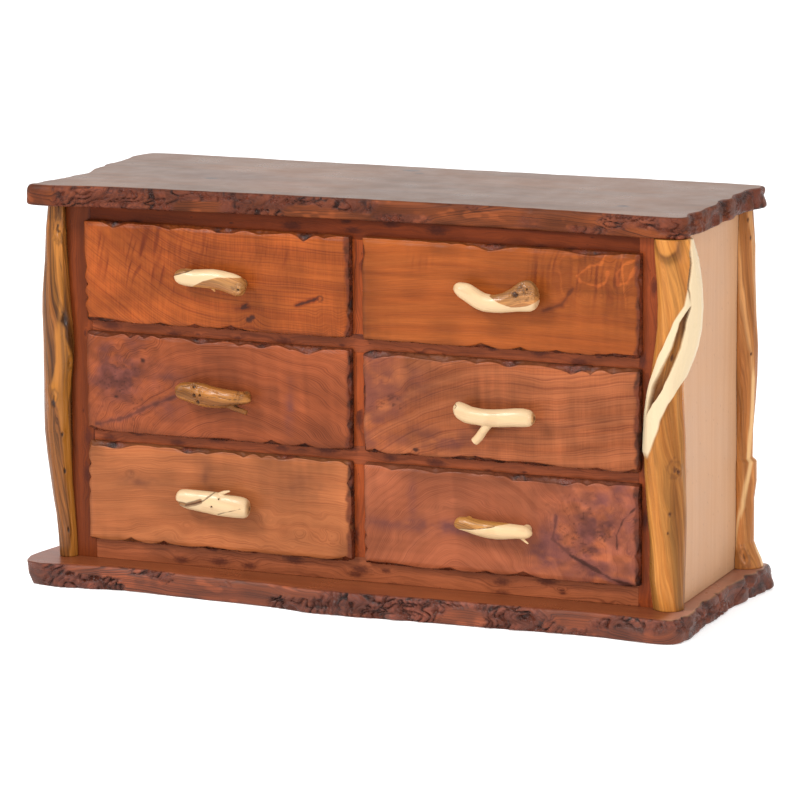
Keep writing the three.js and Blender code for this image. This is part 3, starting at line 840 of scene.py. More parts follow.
def front_borders(width, height, front):
    """The four borders of a front's face, scalloped inwards from its rectangle."""
    seed = front["figure"]["seed"]
    columns, rows = round(width / FRONT_CELL), round(height / FRONT_CELL)
    perimeter = 2 * (width + height)
    x = np.linspace(-width / 2, width / 2, columns)
    z = np.linspace(-height / 2, height / 2, rows)

    def inset(reach):
        return scallop_inset(reach, perimeter, seed)

    chipped = front.get("lower", 0) + sum(deep * bump(x, at, wide) for at, deep, wide in front["chips"])
    waves = np.abs(np.sin(20 * x + seed + 1.8 * np.sin(11 * x + seed)))
    reached = LOW_SCALLOP * (0.45 + 0.55 * np.sin(13 * x + 2 * seed) ** 2)
    low_inset = SCALLOP_LEAST + reached * (1 - waves) ** 1.5 + 0.25 * inset(x + width / 2)
    bottom = np.stack([x, -height / 2 + low_inset], axis=1)
    top_inset = front.get("top_waves", 1.0) * inset(perimeter / 2 + width / 2 - x)
    top = np.stack([x, height / 2 - top_inset - chipped], axis=1)
    right = np.stack([width / 2 - inset(width + z + height / 2), z], axis=1)
    left = np.stack([-width / 2 + inset(perimeter - z - height / 2), z], axis=1)
    for side, side_index in ((left, 0), (right, -1)):
        for edge, edge_index in ((bottom, 0), (top, -1)):
            corner = np.array([side[edge_index, 0], edge[side_index, 1]])
            edge[side_index] = corner
            side[edge_index] = corner
    bottom[:, 0] = np.linspace(bottom[0, 0], bottom[-1, 0], columns)
    top[:, 0] = np.linspace(top[0, 0], top[-1, 0], columns)
    right[:, 1] = np.linspace(right[0, 1], right[-1, 1], rows)
    left[:, 1] = np.linspace(left[0, 1], left[-1, 1], rows)
    return bottom, right, top, left


def front_stain(a, b, front):
    """Stain in soft patches, broken into leaning streaks or into a mottle."""
    seed = front["figure"]["seed"]
    stain = np.zeros(len(a))
    for *place, strength in front["stains"]:
        stain = np.maximum(stain, strength * spot(a, b, *place))
    if "stain_lean" in front:
        leant = a - front["stain_lean"] * b + 0.007 * noise(a * 30, b * 16, 0, seed + 17)
        streaks = noise(leant * 75, b * 11, 0, seed + 5)
        fine = noise(leant * 210, b * 17, 0, seed + 15)
        broken = smoothstep(0.0, 0.8, streaks + 0.5 * fine) + 0.7 * smoothstep(0.15, 0.6, fine)
    else:
        broken = 0.65 + 1.5 * fractal(a * 26, b * 40, 0, 4, seed + 5)
    return np.clip(stain * broken, 0, 1)


def front_marks(a, b, front, knot, stain):
    """Adds a front's cracks, dark ridges and specks to its knots and its stain."""
    seed = front["figure"]["seed"]
    ragged = RAGGED * noise(a * 90, b * 90, 0, seed + 40)
    wander = 0.0030 * noise(a * 28, b * 28, 0, seed + 41)
    for crack_width, path in front.get("cracks", ()):
        off = distance_to_path(a, b, path) + 0.5 * ragged + wander
        knot = np.maximum(knot, 0.9 * fade(0.3 * crack_width, crack_width, off))
        stain = np.maximum(stain, fade(crack_width, 4 * crack_width, off))
    for path in front.get("ridges", ()):
        off = distance_to_path(a, b, path) + 0.7 * ragged
        knot = np.maximum(knot, 0.5 * fade(0.0005, 0.005, off))
        stain = np.maximum(stain, 0.9 * fade(0.001, 0.011, off))
    speck = smoothstep(0.45, 0.75, noise(a * 190, b * 240, 0, seed + 18))
    speck = speck * smoothstep(-0.2, 0.4, noise(a * 25, b * 25, 0, seed + 19))
    for place in front.get("specks", ()):
        knot = np.maximum(knot, 0.6 * spot(a, b, *place) * speck)
    return knot, stain


def front_glow(a, b, front):
    """Where a front's wood is lighter or darker than its rings make it, with bands of painted sheen."""
    seed = front["figure"]["seed"]
    # Near-upright bands across the grain are painted sheen, the chatoyance of the figure.
    sheen_bands = noise(a * 85 + b * 6, b * 7, 0, seed + 6) + 0.5 * noise(a * 40 + b * 4, b * 5, 0, seed + 16)
    sheen_bands = sheen_bands * (0.5 + 0.5 * noise(a * 6, b * 9, 0, seed + 7))
    glow = front["painted_sheen"] * sheen_bands + 0.4 * noise(a * 6, b * 8, 0, seed + 8)
    glow = glow + 0.3 * noise(a * 16, b * 30, 0, seed + 9)
    glow = glow + front.get("streaks", 0.12) * noise(a * 9, b * 110, 0, seed + 32)
    mottle = fractal(a * 42, b * 55, 0, 3, seed + 31)
    for place in front.get("mottles", ()):
        glow = glow + 1.3 * spot(a, b, *place) * mottle
    vein = fade(0.03, 0.10, np.abs(fractal(a * 24, b * 13, 0, 2, seed + 10)))
    for place in front.get("veins", ()):
        glow = glow + 1.4 * spot(a, b, *place) * vein
    ragged = RAGGED * noise(a * 90, b * 90, 0, seed + 40)
    for path in front.get("light_lines", ()):
        glow = glow + 1.1 * fade(0.0006, 0.0040, distance_to_path(a, b, path) + 0.8 * ragged)
    return glow


def front_bark(points, below, on_top, front, width):
    """Bark all round a front's edge, but only beside the chips along its top, and on its right lip, where the
    dark band is partly bark and partly painted shade.
    """
    a, b, c = points.T
    seed = front["figure"]["seed"]
    rough = fractal(a * 60, b * 60, c * 90, 3, seed + 11)
    near_chip = np.max([bump(a, at, wide * 1.3) for at, _, wide in front["chips"]], axis=0)
    bark = smoothstep(-0.25, 0.15, rough + 0.3 * smoothstep(0.1, 0.4, below))
    bark = np.where(below > 0, bark, 0) * np.where(on_top > 0.5, near_chip, 1)
    # The right lip's dark band is partly bark and partly painted shade on the side away from the light.
    lip = a + 0.006 * rough + 0.003 * noise(b * 30, 0, 0, seed + 12)
    return np.maximum(bark, 0.8 * smoothstep(width / 2 - 0.012, width / 2 - 0.006, lip))


def to_outline(a, b, width, height):
    """How far a place on a front is from the nearest side of its rectangle."""
    return np.minimum(width / 2 - np.abs(a), height / 2 - np.abs(b))


def front_fields(points, below, front, width, height):
    """The wood's fields over a front's face and its edge. below is the depth under the face, 0 to 1."""
    a, b, c = points.T
    on_top = smoothstep(height / 2 - 0.016, height / 2 - 0.010, b)
    on_bottom = smoothstep(height / 2 - 0.018, height / 2 - 0.010, -b)
    by_border = fade(0.002, 0.010, to_outline(a, b, width, height)) * (1 - on_top)
    # The glow below darkens the edge a little all round and adds painted shade at its bottom and its top,
    # where the live edges stand in shade; the face is also darker along its border.
    on_edge = (below > 0) * (0.4 + 0.7 * on_bottom + 0.8 * on_top)
    ring, knot = growth(a, b, c, front["figure"])
    knot, stain = front_marks(a, b, front, knot, front_stain(a, b, front))
    return {
        "ring": ring,
        "along": a,
        "sap": np.zeros(len(a)),
        "knot": knot,
        "stain": stain,
        "bark": front_bark(points, below, on_top, front, width),
        "glow": front_glow(a, b, front) - 0.4 * by_border - on_edge,
    }


def front_edge(width, height, seed):
    """The live edge between a front's scalloped face and its straight back outline."""
    def shape(reach, below, rim):
        gap = to_outline(rim[..., 0], rim[..., 1], width, height)
        plates = billow(reach * 55, below * 1.6, 0, seed + 20)
        grit = noise(reach * 190, below * 6, 0, seed + 21)
        lumps = np.sin(np.pi * below) * (0.0022 * (plates - 0.6) + 0.0007 * grit)
        return gap * smoothstep(0.0, 0.55, below) + lumps
    return shape


def front_relief(width, height, seed):
    """How far a front's face is carved down towards its border."""
    def relief(plan):
        a, b = plan.T
        gap = to_outline(a, b, width, height)
        carved = 0.0032 * fade(0.002, 0.018, gap) ** 2
        waves = 0.0008 * fade(0.004, 0.04, gap) * noise(a * 45, b * 45, 0, seed + 22)
        return np.maximum(0, carved + waves)
    return relief


def add_front(tag, front):
    node = "front_" + tag
    low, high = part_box(node)
    width, height, thickness = high.x - low.x, high.z - low.z, high.y - low.y
    seed = front["figure"]["seed"]
    borders = front_borders(width, height, front)
    edge, relief = front_edge(width, height, seed), front_relief(width, height, seed)
    points, faces, _, below, on_edge = slab_mesh(borders, thickness, FRONT_EDGE_ROWS, edge, relief)
    fields = front_fields(points, below, front, width, height)
    placed = np.stack([
        (low.x + high.x) / 2 + points[:, 0],
        low.y - points[:, 2],
        (low.z + high.z) / 2 + points[:, 1],
    ], axis=1)
    look = dict(front["look"], stain_colour=front.get("stain_colour", PURPLE))
    woods = [
        wood_from_fields("front_face_" + tag, look),
        wood_from_fields("front_edge_" + tag, dict(look, specular=0.12, coat=0.0, rough=0.45,
                                                   bark_rough=0.25)),
    ]
    make_piece(node + "_wood", placed, faces, fields, "drawer_" + tag, [node], woods, on_edge)


for front_tag, front_spec in FRONTS.items():
    add_front(front_tag, front_spec)


# ---------------------------------------------------------------- log posts
# Angles are in degrees round the log, 0 towards +X and -90 towards the front.
POST_BASE = {
    "seed": 20.0, "ring_gap": 0.0065, "ring_strength": 0.5, "fibre": 0.2, "rough": 0.28, "coat": 0.08,
    "specular": 0.16, "knot": (0.060, 0.018, 0.007),
}
AMBER = dict(POST_BASE, pale=(0.36, 0.150, 0.034), deep=(0.25, 0.086, 0.016), line=(0.15, 0.042, 0.008),
             sap=(0.60, 0.50, 0.33), ring_strength=0.32, specular=0.10, coat=0.03)
BROWN = dict(POST_BASE, pale=(0.190, 0.066, 0.013), deep=(0.110, 0.035, 0.007), line=(0.045, 0.014, 0.004),
             sap=(0.50, 0.185, 0.026), sap_veil=0.5, fibre=0.34, ring_strength=0.7, ring_gap=0.005,
             knot=(0.022, 0.009, 0.005))
ORANGE = dict(POST_BASE, specular=0.10, coat=0.03, pale=(0.40, 0.160, 0.045), deep=(0.30, 0.103, 0.025),
              line=(0.22, 0.066, 0.016), sap=(0.62, 0.38, 0.17), ring_strength=0.35)
# Each log's sides: height above the floor, then how far it reaches to the left and right of its axis as the
# camera sees it, all in millimetres. Knots and eyes: angle, height, radius. A band of sapwood: height, then
# the angles of its two edges. A ribbon has its edges and those of its slit at each height. A pocket: angle,
# height, half its width, half its height. A pale foot: the angles of its two edges, then its top.
POSTS = {
    "post_front_left": {
        "axis": (-0.723, -0.199),
        "look": BROWN, "seed": 4, "contrast": 1.3, "pale_streaks": 0.35, "fibres": 0.8,
        "sides": [(53, -9, 31), (100, -12, 31), (150, -16, 28), (215, -24, 24), (280, -32, 23),
                  (340, -37, 24), (450, -35, 27), (530, -35, 34), (600, -36, 29), (640, -34, 26),
                  (710, -28, 23), (785, -24, 19), (843, -17, 20)],
        "knots": [(-38, 0.588, 0.016), (-84, 0.400, 0.009), (-48, 0.332, 0.005), (-47, 0.249, 0.006),
                  (-57, 0.116, 0.006), (5, 0.780, 0.004)],
        "eyes": [(-50, 0.787, 0.020), (-78, 0.418, 0.009), (-18, 0.490, 0.010)],
        "band": [(0.06, -57, 7), (0.115, -37, 7), (0.19, -37, 5), (0.245, -48, 3), (0.335, -53, -13),
                 (0.39, -66, -22), (0.44, -100, -6), (0.495, -75, -6), (0.55, -77, -45), (0.605, -65, -42),
                 (0.655, -60, -31), (0.715, -67, -29), (0.766, -88, -29), (0.80, -60, -40)],
    },
    "post_front_right": {
        "axis": (0.686, -0.186),
        "look": AMBER, "seed": 21, "contrast": 0.85, "pale_streaks": 0.0, "fibres": 0.35,
        "sides": [(53, -34, 32), (115, -41, 33), (200, -43, 35), (270, -49, 36), (350, -54, 35),
                  (400, -54, 33), (475, -51, 29), (515, -48, 28), (544, -43, 29), (568, -39, 38),
                  (592, -36, 47), (616, -32, 54), (655, -27, 61), (700, -26, 64), (745, -28, 62),
                  (795, -33, 55), (843, -36, 42)],
        "knots": [(-79, 0.596, 0.007), (-36, 0.356, 0.006), (-63, 0.267, 0.005), (-70, 0.225, 0.003)],
        "eyes": [(-46, 0.362, 0.013)], "pocket": (-96, 0.850, 0.032, 0.042),
        "ribbon": {
            "height": (0.38, 0.40, 0.43, 0.466, 0.50, 0.53, 0.57, 0.60, 0.64, 0.672, 0.708, 0.743, 0.779,
                       0.814, 0.843),
            "left": (-200, -190, -180, -170, -158, -144, -128, -117, -101, -88, -61, -49, -37, -27, -9),
            "slit_left": (-160, -155, -148, -136, -131, -122, -102, -88, -78, -71, -44, -49, -37, -27, -9),
            "slit_right": (-160, -155, -148, -136, -110, -83, -70, -62, -57, -54, -43, -46, -33, -24, -9),
            "right": (-127, -113, -99, -83, -64, -33, 28, 38, 50, 55, 55, 50, 42, 30, 18),
        },
    },
    "post_back_left": {
        "axis": (-0.718, 0.237),
        "look": ORANGE, "seed": 42, "contrast": 0.7, "pale_streaks": 0.3, "fibres": 0.35,
        "sides": [(53, -38, 30), (150, -40, 29), (300, -33, 30), (500, -31, 32), (700, -34, 30),
                  (843, -28, 28)],
        "knots": [(150, 0.55, 0.007), (110, 0.30, 0.006), (170, 0.16, 0.008)],
        "eyes": [], "turns_from": -180, "band": [(0.2, 120, 160), (0.5, 130, 165), (0.75, 150, 175)],
    },
    "post_back_right": {
        "axis": (0.701, 0.236),
        "look": ORANGE, "seed": 53, "contrast": 0.7, "pale_streaks": 0.35, "fibres": 0.35,
        "sides": [(53, -30, 53), (70, -30, 48), (87, -30, 40), (109, -30, 31), (206, -30, 31),
                  (243, -30, 36), (288, -30, 36), (296, -30, 27), (354, -30, 28), (410, -30, 33),
                  (476, -32, 37), (542, -32, 37), (615, -33, 33), (688, -32, 30), (761, -30, 30),
                  (843, -26, 24)],
        "knots": [(-43, 0.821, 0.005), (-33, 0.781, 0.005), (-39, 0.528, 0.004)],
        "eyes": [(-66, 0.080, 0.013)], "pale_foot": (-8, 70, 0.085),
        "band": [(0.12, -95, -85), (0.157, -84, -74), (0.19, -71, -56), (0.24, -64, -47), (0.30, -40, -16),
                 (0.37, -30, -6), (0.47, -35, -18), (0.50, -30, -28)],
    },
}
POST_COLUMNS = 170
POST_ROWS = 340
POST_GAP = 0.0003
LOG_RADIUS = 0.035
POCKET_RADIUS = 0.040
RIBBON_FOOT = 0.375
TURNS_FROM = -230
TOWARDS_RIGHT = np.array([math.cos(VIEW_AZIMUTH), math.sin(VIEW_AZIMUTH)])


def turn_between(angle, degrees):
    """Signed turn in degrees from a direction to each angle, from -180 to 180."""
    return (np.degrees(angle) - degrees + 180) % 360 - 180


def log_section(post, angle, z):
    """Where the middle of the log is at each height, and how far its surface is from there."""
    left = interpolate(z * 1000, post["sides"], 1) / 1000
    right = interpolate(z * 1000, post["sides"], 2) / 1000
    shift = (left + right) / 2
    x, y = np.cos(angle), np.sin(angle)
    radius = (right - left) / 2
    radius = radius + 0.0014 * noise(x * 2, y * 2, z * 9, post["seed"])
    radius = radius + 0.0006 * noise(x * 7, y * 7, z * 16, post["seed"] + 1)
    axis_x, axis_y = post["axis"]
    return axis_x + shift * TOWARDS_RIGHT[0], axis_y + shift * TOWARDS_RIGHT[1], radius


def around_log(angle, degrees, radius):
    """How far each angle is round a log from a direction, in metres."""
    return np.radians(turn_between(angle, degrees)) * radius


def turns(angle, start):
    """Angles in degrees from a start to a whole turn on, so that a start at the back hides the step."""
    return (np.degrees(angle) - start) % 360 + start


def between_edges(turn, left, right, soft):
    return smoothstep(-soft, soft, turn - left) * smoothstep(-soft, soft, right - turn)


def ribbon_masks(post, angle, z):
    """Where strips of sapwood are left standing on the log, and the slit between them."""
    ribbon = post["ribbon"]
    ragged = 1.5 * noise(z * 45, 0, 0, 7)
    edges = [ribbon[edge] for edge in ("left", "slit_left", "slit_right", "right")]
    left, slit_left, slit_right, right = [np.interp(z, ribbon["height"], edge) + ragged for edge in edges]
    turn = turns(angle, TURNS_FROM)
    strip = between_edges(turn, left, right, 2.0)
    strip = strip * smoothstep(RIBBON_FOOT, RIBBON_FOOT + 0.020, z) * smoothstep(0.0, 8.0, right - left)
    opened = smoothstep(0.5, 4.0, slit_right - slit_left)
    slit = between_edges(turn, slit_left, slit_right, 1.5) * opened * strip
    return strip, slit


def notch_ring(x, y):
    """Moves the part of each ring that is inside the case's corner onto the corner's two faces.

    x and y are measured out from the corner, so the inside of the case is where both are negative.
    """
    columns = x.shape[1]
    for row in range(x.shape[0]):
        inside = (x[row] < 0) & (y[row] < 0)
        start = int(np.argmax(inside & ~np.roll(inside, 1)))
        count = int(inside.sum())
        picked = (start + np.arange(count)) % columns
        before, after = (start - 1) % columns, (start + count) % columns
        path = np.array([[x[row, before], y[row, before]], [0, 0], [x[row, after], y[row, after]]])
        path[0, int(np.argmin(np.abs(path[0])))] = 0
        path[2, int(np.argmin(np.abs(path[2])))] = 0
        spaced = resample(path, count + 2)[1:-1]
        x[row, picked], y[row, picked] = spaced[:, 0], spaced[:, 1]
    return x, y


def corner_of(axis):
    """The case's corner that a post wraps, and which way out of the case it faces in X and Y."""
    sign_x, sign_y = np.sign(axis[0]), np.sign(axis[1])
    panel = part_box("side_panel_right" if sign_x > 0 else "side_panel_left")
    side = panel[1].x if sign_x > 0 else panel[0].x
    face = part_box("back_panel")[1].y if sign_y > 0 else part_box("rail_top")[0].y
    return side + sign_x * POST_GAP, face + sign_y * POST_GAP, sign_x, sign_y


def post_knots(post, angle, z, ring):
    """Bends a log's rings round its knots and eyes, masks them, and pushes its surface out or in there."""
    seed = post["seed"]
    knot = np.zeros(z.shape)
    push = np.zeros(z.shape)
    marks = [(*mark, False) for mark in post["knots"]] + [(*mark, True) for mark in post["eyes"]]
    for degrees, at, size, is_eye in marks:
        around = around_log(angle, degrees, LOG_RADIUS)
        far = np.hypot(around, (z - at) / 1.7) / size
        ring = ring + np.sign(around) * size * 0.9 * np.exp(-far / 1.6)
        push = push + 0.0030 * bump(far, 0, 1.6) - 0.004 * bump(far, 0, 0.5)
        if is_eye:
            ragged = far + 0.25 * noise(around * 250, z * 160, 0, seed)
            knot = np.maximum(knot, 0.45 * bump(ragged, 0.85, 0.22))
            knot = np.maximum(knot, 0.85 * fade(0.10, 0.35, ragged))
        else:
            knot = np.maximum(knot, fade(0.3, 0.85, far + 0.2 * noise(around * 300, z * 200, 0, seed)))
    return ring, knot, push


def post_pocket(post, angle, z, knot, glow):
    """A smooth golden hollow with a dark rim, where a limb has been."""
    degrees, at, half_width, half_height = post["pocket"]
    around = around_log(angle, degrees, POCKET_RADIUS)
    far = np.hypot(around / half_width, (z - at) / half_height)
    far = far + 0.06 * noise(angle * 3, z * 25, 0, post["seed"] + 15)
    inside = fade(0.80, 0.95, far)
    glow = glow * (1 - 0.75 * inside) + 0.5 * inside - bump(far, 1.15, 0.22)
    return np.maximum(knot * (1 - inside), 0.55 * bump(far, 1.0, 0.09)), glow


def post_ribbon(post, angle, z, ring, knot, glow, push):
    """Strips of sapwood standing on the log, with a dark slit between them."""
    strip, slit = ribbon_masks(post, angle, z)
    sap = strip * (1 - slit)
    split = (z > 0.55) & (z < 0.63)
    narrow = smoothstep(0.60, 0.66, z) + fade(0.52, 0.57, z)
    knot = np.maximum(knot * (1 - sap) * np.where(split, slit > 0.3, 1), 0.75 * slit * narrow)
    glow = glow * (1 - sap) - 0.5 * slit + 0.3 * sap * noise(ring * 40, z * 3, 0, post["seed"] + 9)
    return sap, knot, glow, push * (1 - strip) + 0.0040 * sap - 0.009 * slit


def post_band(post, angle, z, streaks):
    """A band of sapwood up the log, and a pale patch at its foot where it has one."""
    turn = turns(angle, post.get("turns_from", TURNS_FROM))
    band = post["band"]
    bottom, top = band[0][0], band[-1][0]
    sap = between_edges(turn + 10 * streaks, interpolate(z, band, 1), interpolate(z, band, 2), 7.0)
    sap = sap * smoothstep(bottom - 0.03, bottom, z) * fade(top, top + 0.03, z)
    if "pale_foot" in post:
        foot_left, foot_right, foot_top = post["pale_foot"]
        foot = between_edges(turn, foot_left, foot_right, 6.0) * fade(foot_top, foot_top + 0.03, z)
        sap = np.maximum(sap, foot)
    return sap


def post_figure(post, angle, z):
    """Fields of a log's surface, and how far knots, ribbons and slits push it out or in."""
    seed = post["seed"]
    x, y = np.cos(angle), np.sin(angle)
    ring = LOG_RADIUS * angle + 0.10 * z + 0.006 * noise(x * 1.5, y * 1.5, z * 4, seed + 4)
    ring = ring + 0.002 * noise(x * 4, y * 4, z * 14, seed + 5)
    ring, knot, push = post_knots(post, angle, z, ring)
    streaks = fractal(ring * 60, z * 2.0, 0, 3, seed + 6)
    broad = noise(ring * 22, z * 1.2, 0, seed + 8)
    fibres = noise(ring * 260, z * 6, 0, seed + 12) + 0.7 * noise(ring * 520, z * 12, 0, seed + 13)
    glow = post["contrast"] * (1.5 * streaks + 0.7 * broad + post["fibres"] * fibres)
    dark_fibres = smoothstep(0.45, 0.9, noise(ring * 300, z * 4, 0, seed + 14))
    knot = np.maximum(knot, 0.55 * post["fibres"] * dark_fibres)
    if "pocket" in post:
        knot, glow = post_pocket(post, angle, z, knot, glow)
    if "ribbon" in post:
        sap, knot, glow, push = post_ribbon(post, angle, z, ring, knot, glow, push)
    else:
        sap = post_band(post, angle, z, streaks)
    pale_streaks = smoothstep(0.15, 0.75, fractal(ring * 42, z * 1.5, 0, 2, seed + 10))
    sap = np.maximum(sap, post["pale_streaks"] * pale_streaks)
    plain = np.zeros(z.shape)
    fields = {"ring": ring, "along": z, "sap": sap, "knot": knot, "glow": glow, "stain": plain, "bark": plain}
    return {field: np.ravel(values) for field, values in fields.items()}, push


def add_post(name, post):
    low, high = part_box(name)
    corner_x, corner_y, sign_x, sign_y = corner_of(post["axis"])
    z = np.linspace(low.z, high.z, POST_ROWS)[:, None]
    angle = np.linspace(-math.pi, math.pi, POST_COLUMNS, endpoint=False)[None, :]
    z, angle = np.broadcast_arrays(z, angle)
    middle_x, middle_y, radius = log_section(post, angle, z)
    fields, push = post_figure(post, angle, z)
    x = sign_x * (middle_x + (radius + push) * np.cos(angle) - corner_x)
    y = sign_y * (middle_y + (radius + push) * np.sin(angle) - corner_y)
    x, y = notch_ring(x, y)
    points = np.stack([corner_x + sign_x * x, corner_y + sign_y * y, z], axis=-1).reshape(-1, 3)
    wood = wood_from_fields(name + "_wood", post["look"])
    faces = tube_faces(POST_ROWS, POST_COLUMNS)
    make_piece(name + "_log", points, faces, fields, "case", [name], [wood])


for post_name, post_spec in POSTS.items():
    add_post(post_name, post_spec)


# ---------------------------------------------------------------- branch pulls
# Places on a pull are in millimetres from its centre, which is measured from the middle of its front: along
# the front, then up it. Outline: a place along, then the lower and upper side of the branch there. Limbs:
# along, up, out from the branch's middle, radius. Cracks: width, path. Gnarls and holes: place, radius.
PULL_LOOK = {
    "seed": 40.0, "pale": (0.36, 0.165, 0.050), "deep": (0.22, 0.083, 0.020), "line": (0.085, 0.026, 0.008),
    "ring_gap": 0.0042, "ring_strength": 0.6, "fibre": 0.26, "rough": 0.30, "coat": 0.06, "specular": 0.24,
    "sap": (0.62, 0.46, 0.27), "sap_veil": 0.30, "stain_colour": (0.110, 0.050, 0.022),
    "knot": (0.040, 0.014, 0.006),
}
PULLS = {
    "left_top": {
        "centre": (1, 2),
        "outline": [(-88, 3, 6), (-84, -5, 17), (-73, -12, 23), (-56, -15, 25), (-35, -16, 24),
                    (-15, -16, 26), (8, -17, 28), (31, -20, 26), (46, -25, 23), (58, -29, 21),
                    (70, -32, 17), (80, -28, 12), (88, -14, 2)],
        "limbs": [[(4, -14, 0, 4), (14, -22, 2, 2)]],
        "sap_above": [(-90, 2), (-68, -14), (-45, -17), (-30, -10), (-9, 1), (26, 12), (69, 12), (90, 10)],
        "sap_below": [(-90, 4), (-73, 11), (-50, 18), (-32, 25), (-20, 40), (90, 40)],
        "cracks": [(1.2, [(-88, 4), (-73, 11), (-50, 18), (-34, 24)])],
        "gnarls": [(72, -14, 17)], "holes": [(74, -13, 3)],
    },
    "left_middle": {
        "look": {"pale": (0.290, 0.115, 0.025), "deep": (0.165, 0.055, 0.010), "fibre": 0.36,
                 "specular": 0.16, "coat": 0.03},
        "centre": (5, -7),
        "outline": [(-94, 6, 13), (-91, -4, 20), (-81, -11, 27), (-63, -15, 30), (-43, -20, 31),
                    (-22, -24, 30), (0, -25, 24), (30, -23, 20), (47, -18, 19), (65, -14, 17),
                    (79, -12, 13), (90, -9, 7), (94, -4, 2)],
        "limbs": [[(24, -12, 0, 7), (52, -20, 4, 6.5), (82, -29, 4, 5)]],
        "sap": 0.0,
        "cracks": [(0.6, [(-4, 2), (20, 4), (47, 0), (62, 1)]),
                   (0.5, [(-70, 20), (-40, 26), (-20, 22), (20, 13)]),
                   (0.5, [(-60, -6), (-30, -12), (0, -16), (40, -15)]), (2.5, [(55, -15), (80, -20)])],
        "gnarls": [(-26, 3, 15), (66, 8, 15)],
        "holes": [(-38, 22, 4), (-36, 4, 4.5), (-22, 5, 3), (-29, -12, 5)],
    },
    "left_bottom": {
        "centre": (1, 2),
        "outline": [(-92, 5, 10), (-89, -4, 19), (-81, -11, 26), (-65, -17, 28), (-35, -21, 28),
                    (-9, -24, 28), (14, -27, 27), (31, -28, 24), (55, -29, 22), (75, -29, 20),
                    (84, -27, 17), (90, -19, 8), (92, -7, -2)],
        "limbs": [[(14, 20, 2, 5), (30, 28, 8, 4), (46, 33, 12, 2)]],
        "cracks": [(6.5, [(-84, -3), (-56, -6), (-34, 1), (-22, 6)]),
                   (2.2, [(-60, -9), (-36, -1), (-14, 8), (-2, 18), (8, 27)]),
                   (1.6, [(17, -22), (33, -16)]), (0.7, [(33, -16), (72, -4)])],
        "holes": [(21, 14, 2), (5, -4, 2.6)], "cut": True,
    },
    "right_top": {
        "centre": (4, 7),
        "outline": [(-100, 12, 16), (-97, 6, 24), (-86, -4, 29), (-67, -15, 28), (-57, -21, 25),
                    (-41, -29, 16), (-25, -33, 8), (-5, -34, 5), (17, -33, 11), (40, -30, 24),
                    (56, -28, 37), (72, -27, 43), (85, -26, 42), (96, -20, 31), (101, -8, 6)],
        "sap_below": [(-105, 60), (-15, 30), (-9, 3), (14, -8), (40, -16), (59, -15), (78, -11), (92, -4),
                      (102, 4)],
        "gnarls": [(60, 14, 24), (80, 18, 18)], "holes": [(50, 12, 7), (76, 24, 3)],
        "look": {"pale": (0.36, 0.155, 0.045), "deep": (0.22, 0.085, 0.022)},
    },
    "right_middle": {
        "centre": (0, -1),
        "outline": [(-96, 3, 14), (-93, -5, 21), (-85, -13, 26), (-69, -21, 22), (-53, -23, 16),
                    (-37, -24, 14), (-21, -25, 13), (0, -26, 14), (27, -24, 17), (50, -22, 20),
                    (69, -21, 21), (86, -19, 18), (95, -11, 9)],
        "limbs": [[(-6, -8, 0, 12), (-22, -32, 1, 9), (-34, -50, 2, 9.5), (-44, -60, 2, 9)]],
        "cracks": [(1.4, [(-94, 16), (-86, 20), (-80, 17), (-83, 12)])],
        "cut": True,
    },
    "right_bottom": {
        "centre": (-2, -2),
        "outline": [(-93, 0, 8), (-90, -5, 16), (-81, -7, 22), (-64, -10, 23), (-49, -14, 21),
                    (-32, -18, 19), (-12, -21, 18), (9, -22, 17), (32, -20, 16), (55, -17, 15),
                    (73, -16, 14), (85, -14, 9), (92, -6, 0)],
        "limbs": [[(60, -12, 0, 4), (80, -25, 3, 1.8)]],
        "sap_below": [(-93, -4), (-76, -4), (-49, -2), (-26, 2), (0, 7), (23, 13), (50, 17), (60, 40),
                      (100, 40)],
        "cracks": [(1.0, [(-70, -3), (-49, -2), (-26, 2), (0, 7), (8, 9)])],
        "look": {"pale": (0.42, 0.190, 0.045), "deep": (0.30, 0.120, 0.024), "specular": 0.2, "coat": 0.06},
    },
}
PULL_SLIMMING = 0.95
PULL_OUT = 0.030
PULL_BOW = 0.003
PULL_HALF_DEPTH = 0.0165
PULL_FEET = (-0.066, 0.066)
PULL_FOOT_RADIUS = 0.0095
PULL_FOOT_TOP = 0.012
PULL_ARC = 0.017
PULL_CELL = 0.0012
PULL_STATIONS = 90
PULL_COLUMNS = 40
LIMB_STATIONS = 14
LIMB_COLUMNS = 24
TORN_CRACK = 3


def tube_turn(columns):
    return np.linspace(0, 2 * np.pi, columns, endpoint=False)[None, :]


def branch_tube(outline):
    """A pull's branch as rings of points, in metres along, up and out, with the counts of both."""
    table = np.array(outline, dtype=float) / 1000 * PULL_SLIMMING
    along = np.linspace(table[0, 0], table[-1, 0], PULL_STATIONS)
    low, high = interpolate(along, table, 1), interpolate(along, table, 2)
    for _ in range(3):
        for side in (low, high):
            side[1:-1] = (side[:-2] + 2 * side[1:-1] + side[2:]) / 4
    half = (high - low) / 2
    deep = np.minimum(half * 0.95, PULL_HALF_DEPTH)
    bow = PULL_OUT + PULL_BOW * (1 - (2 * (along - along[0]) / (along[-1] - along[0]) - 1) ** 2)
    turn = tube_turn(PULL_COLUMNS)
    up = (low + high)[:, None] / 2 + half[:, None] * np.sin(turn)
    out = bow[:, None] - deep[:, None] * np.cos(turn)
    rings = np.stack([np.broadcast_to(along[:, None], up.shape), up, out], axis=-1)
    return rings.reshape(-1, 3), PULL_STATIONS, PULL_COLUMNS


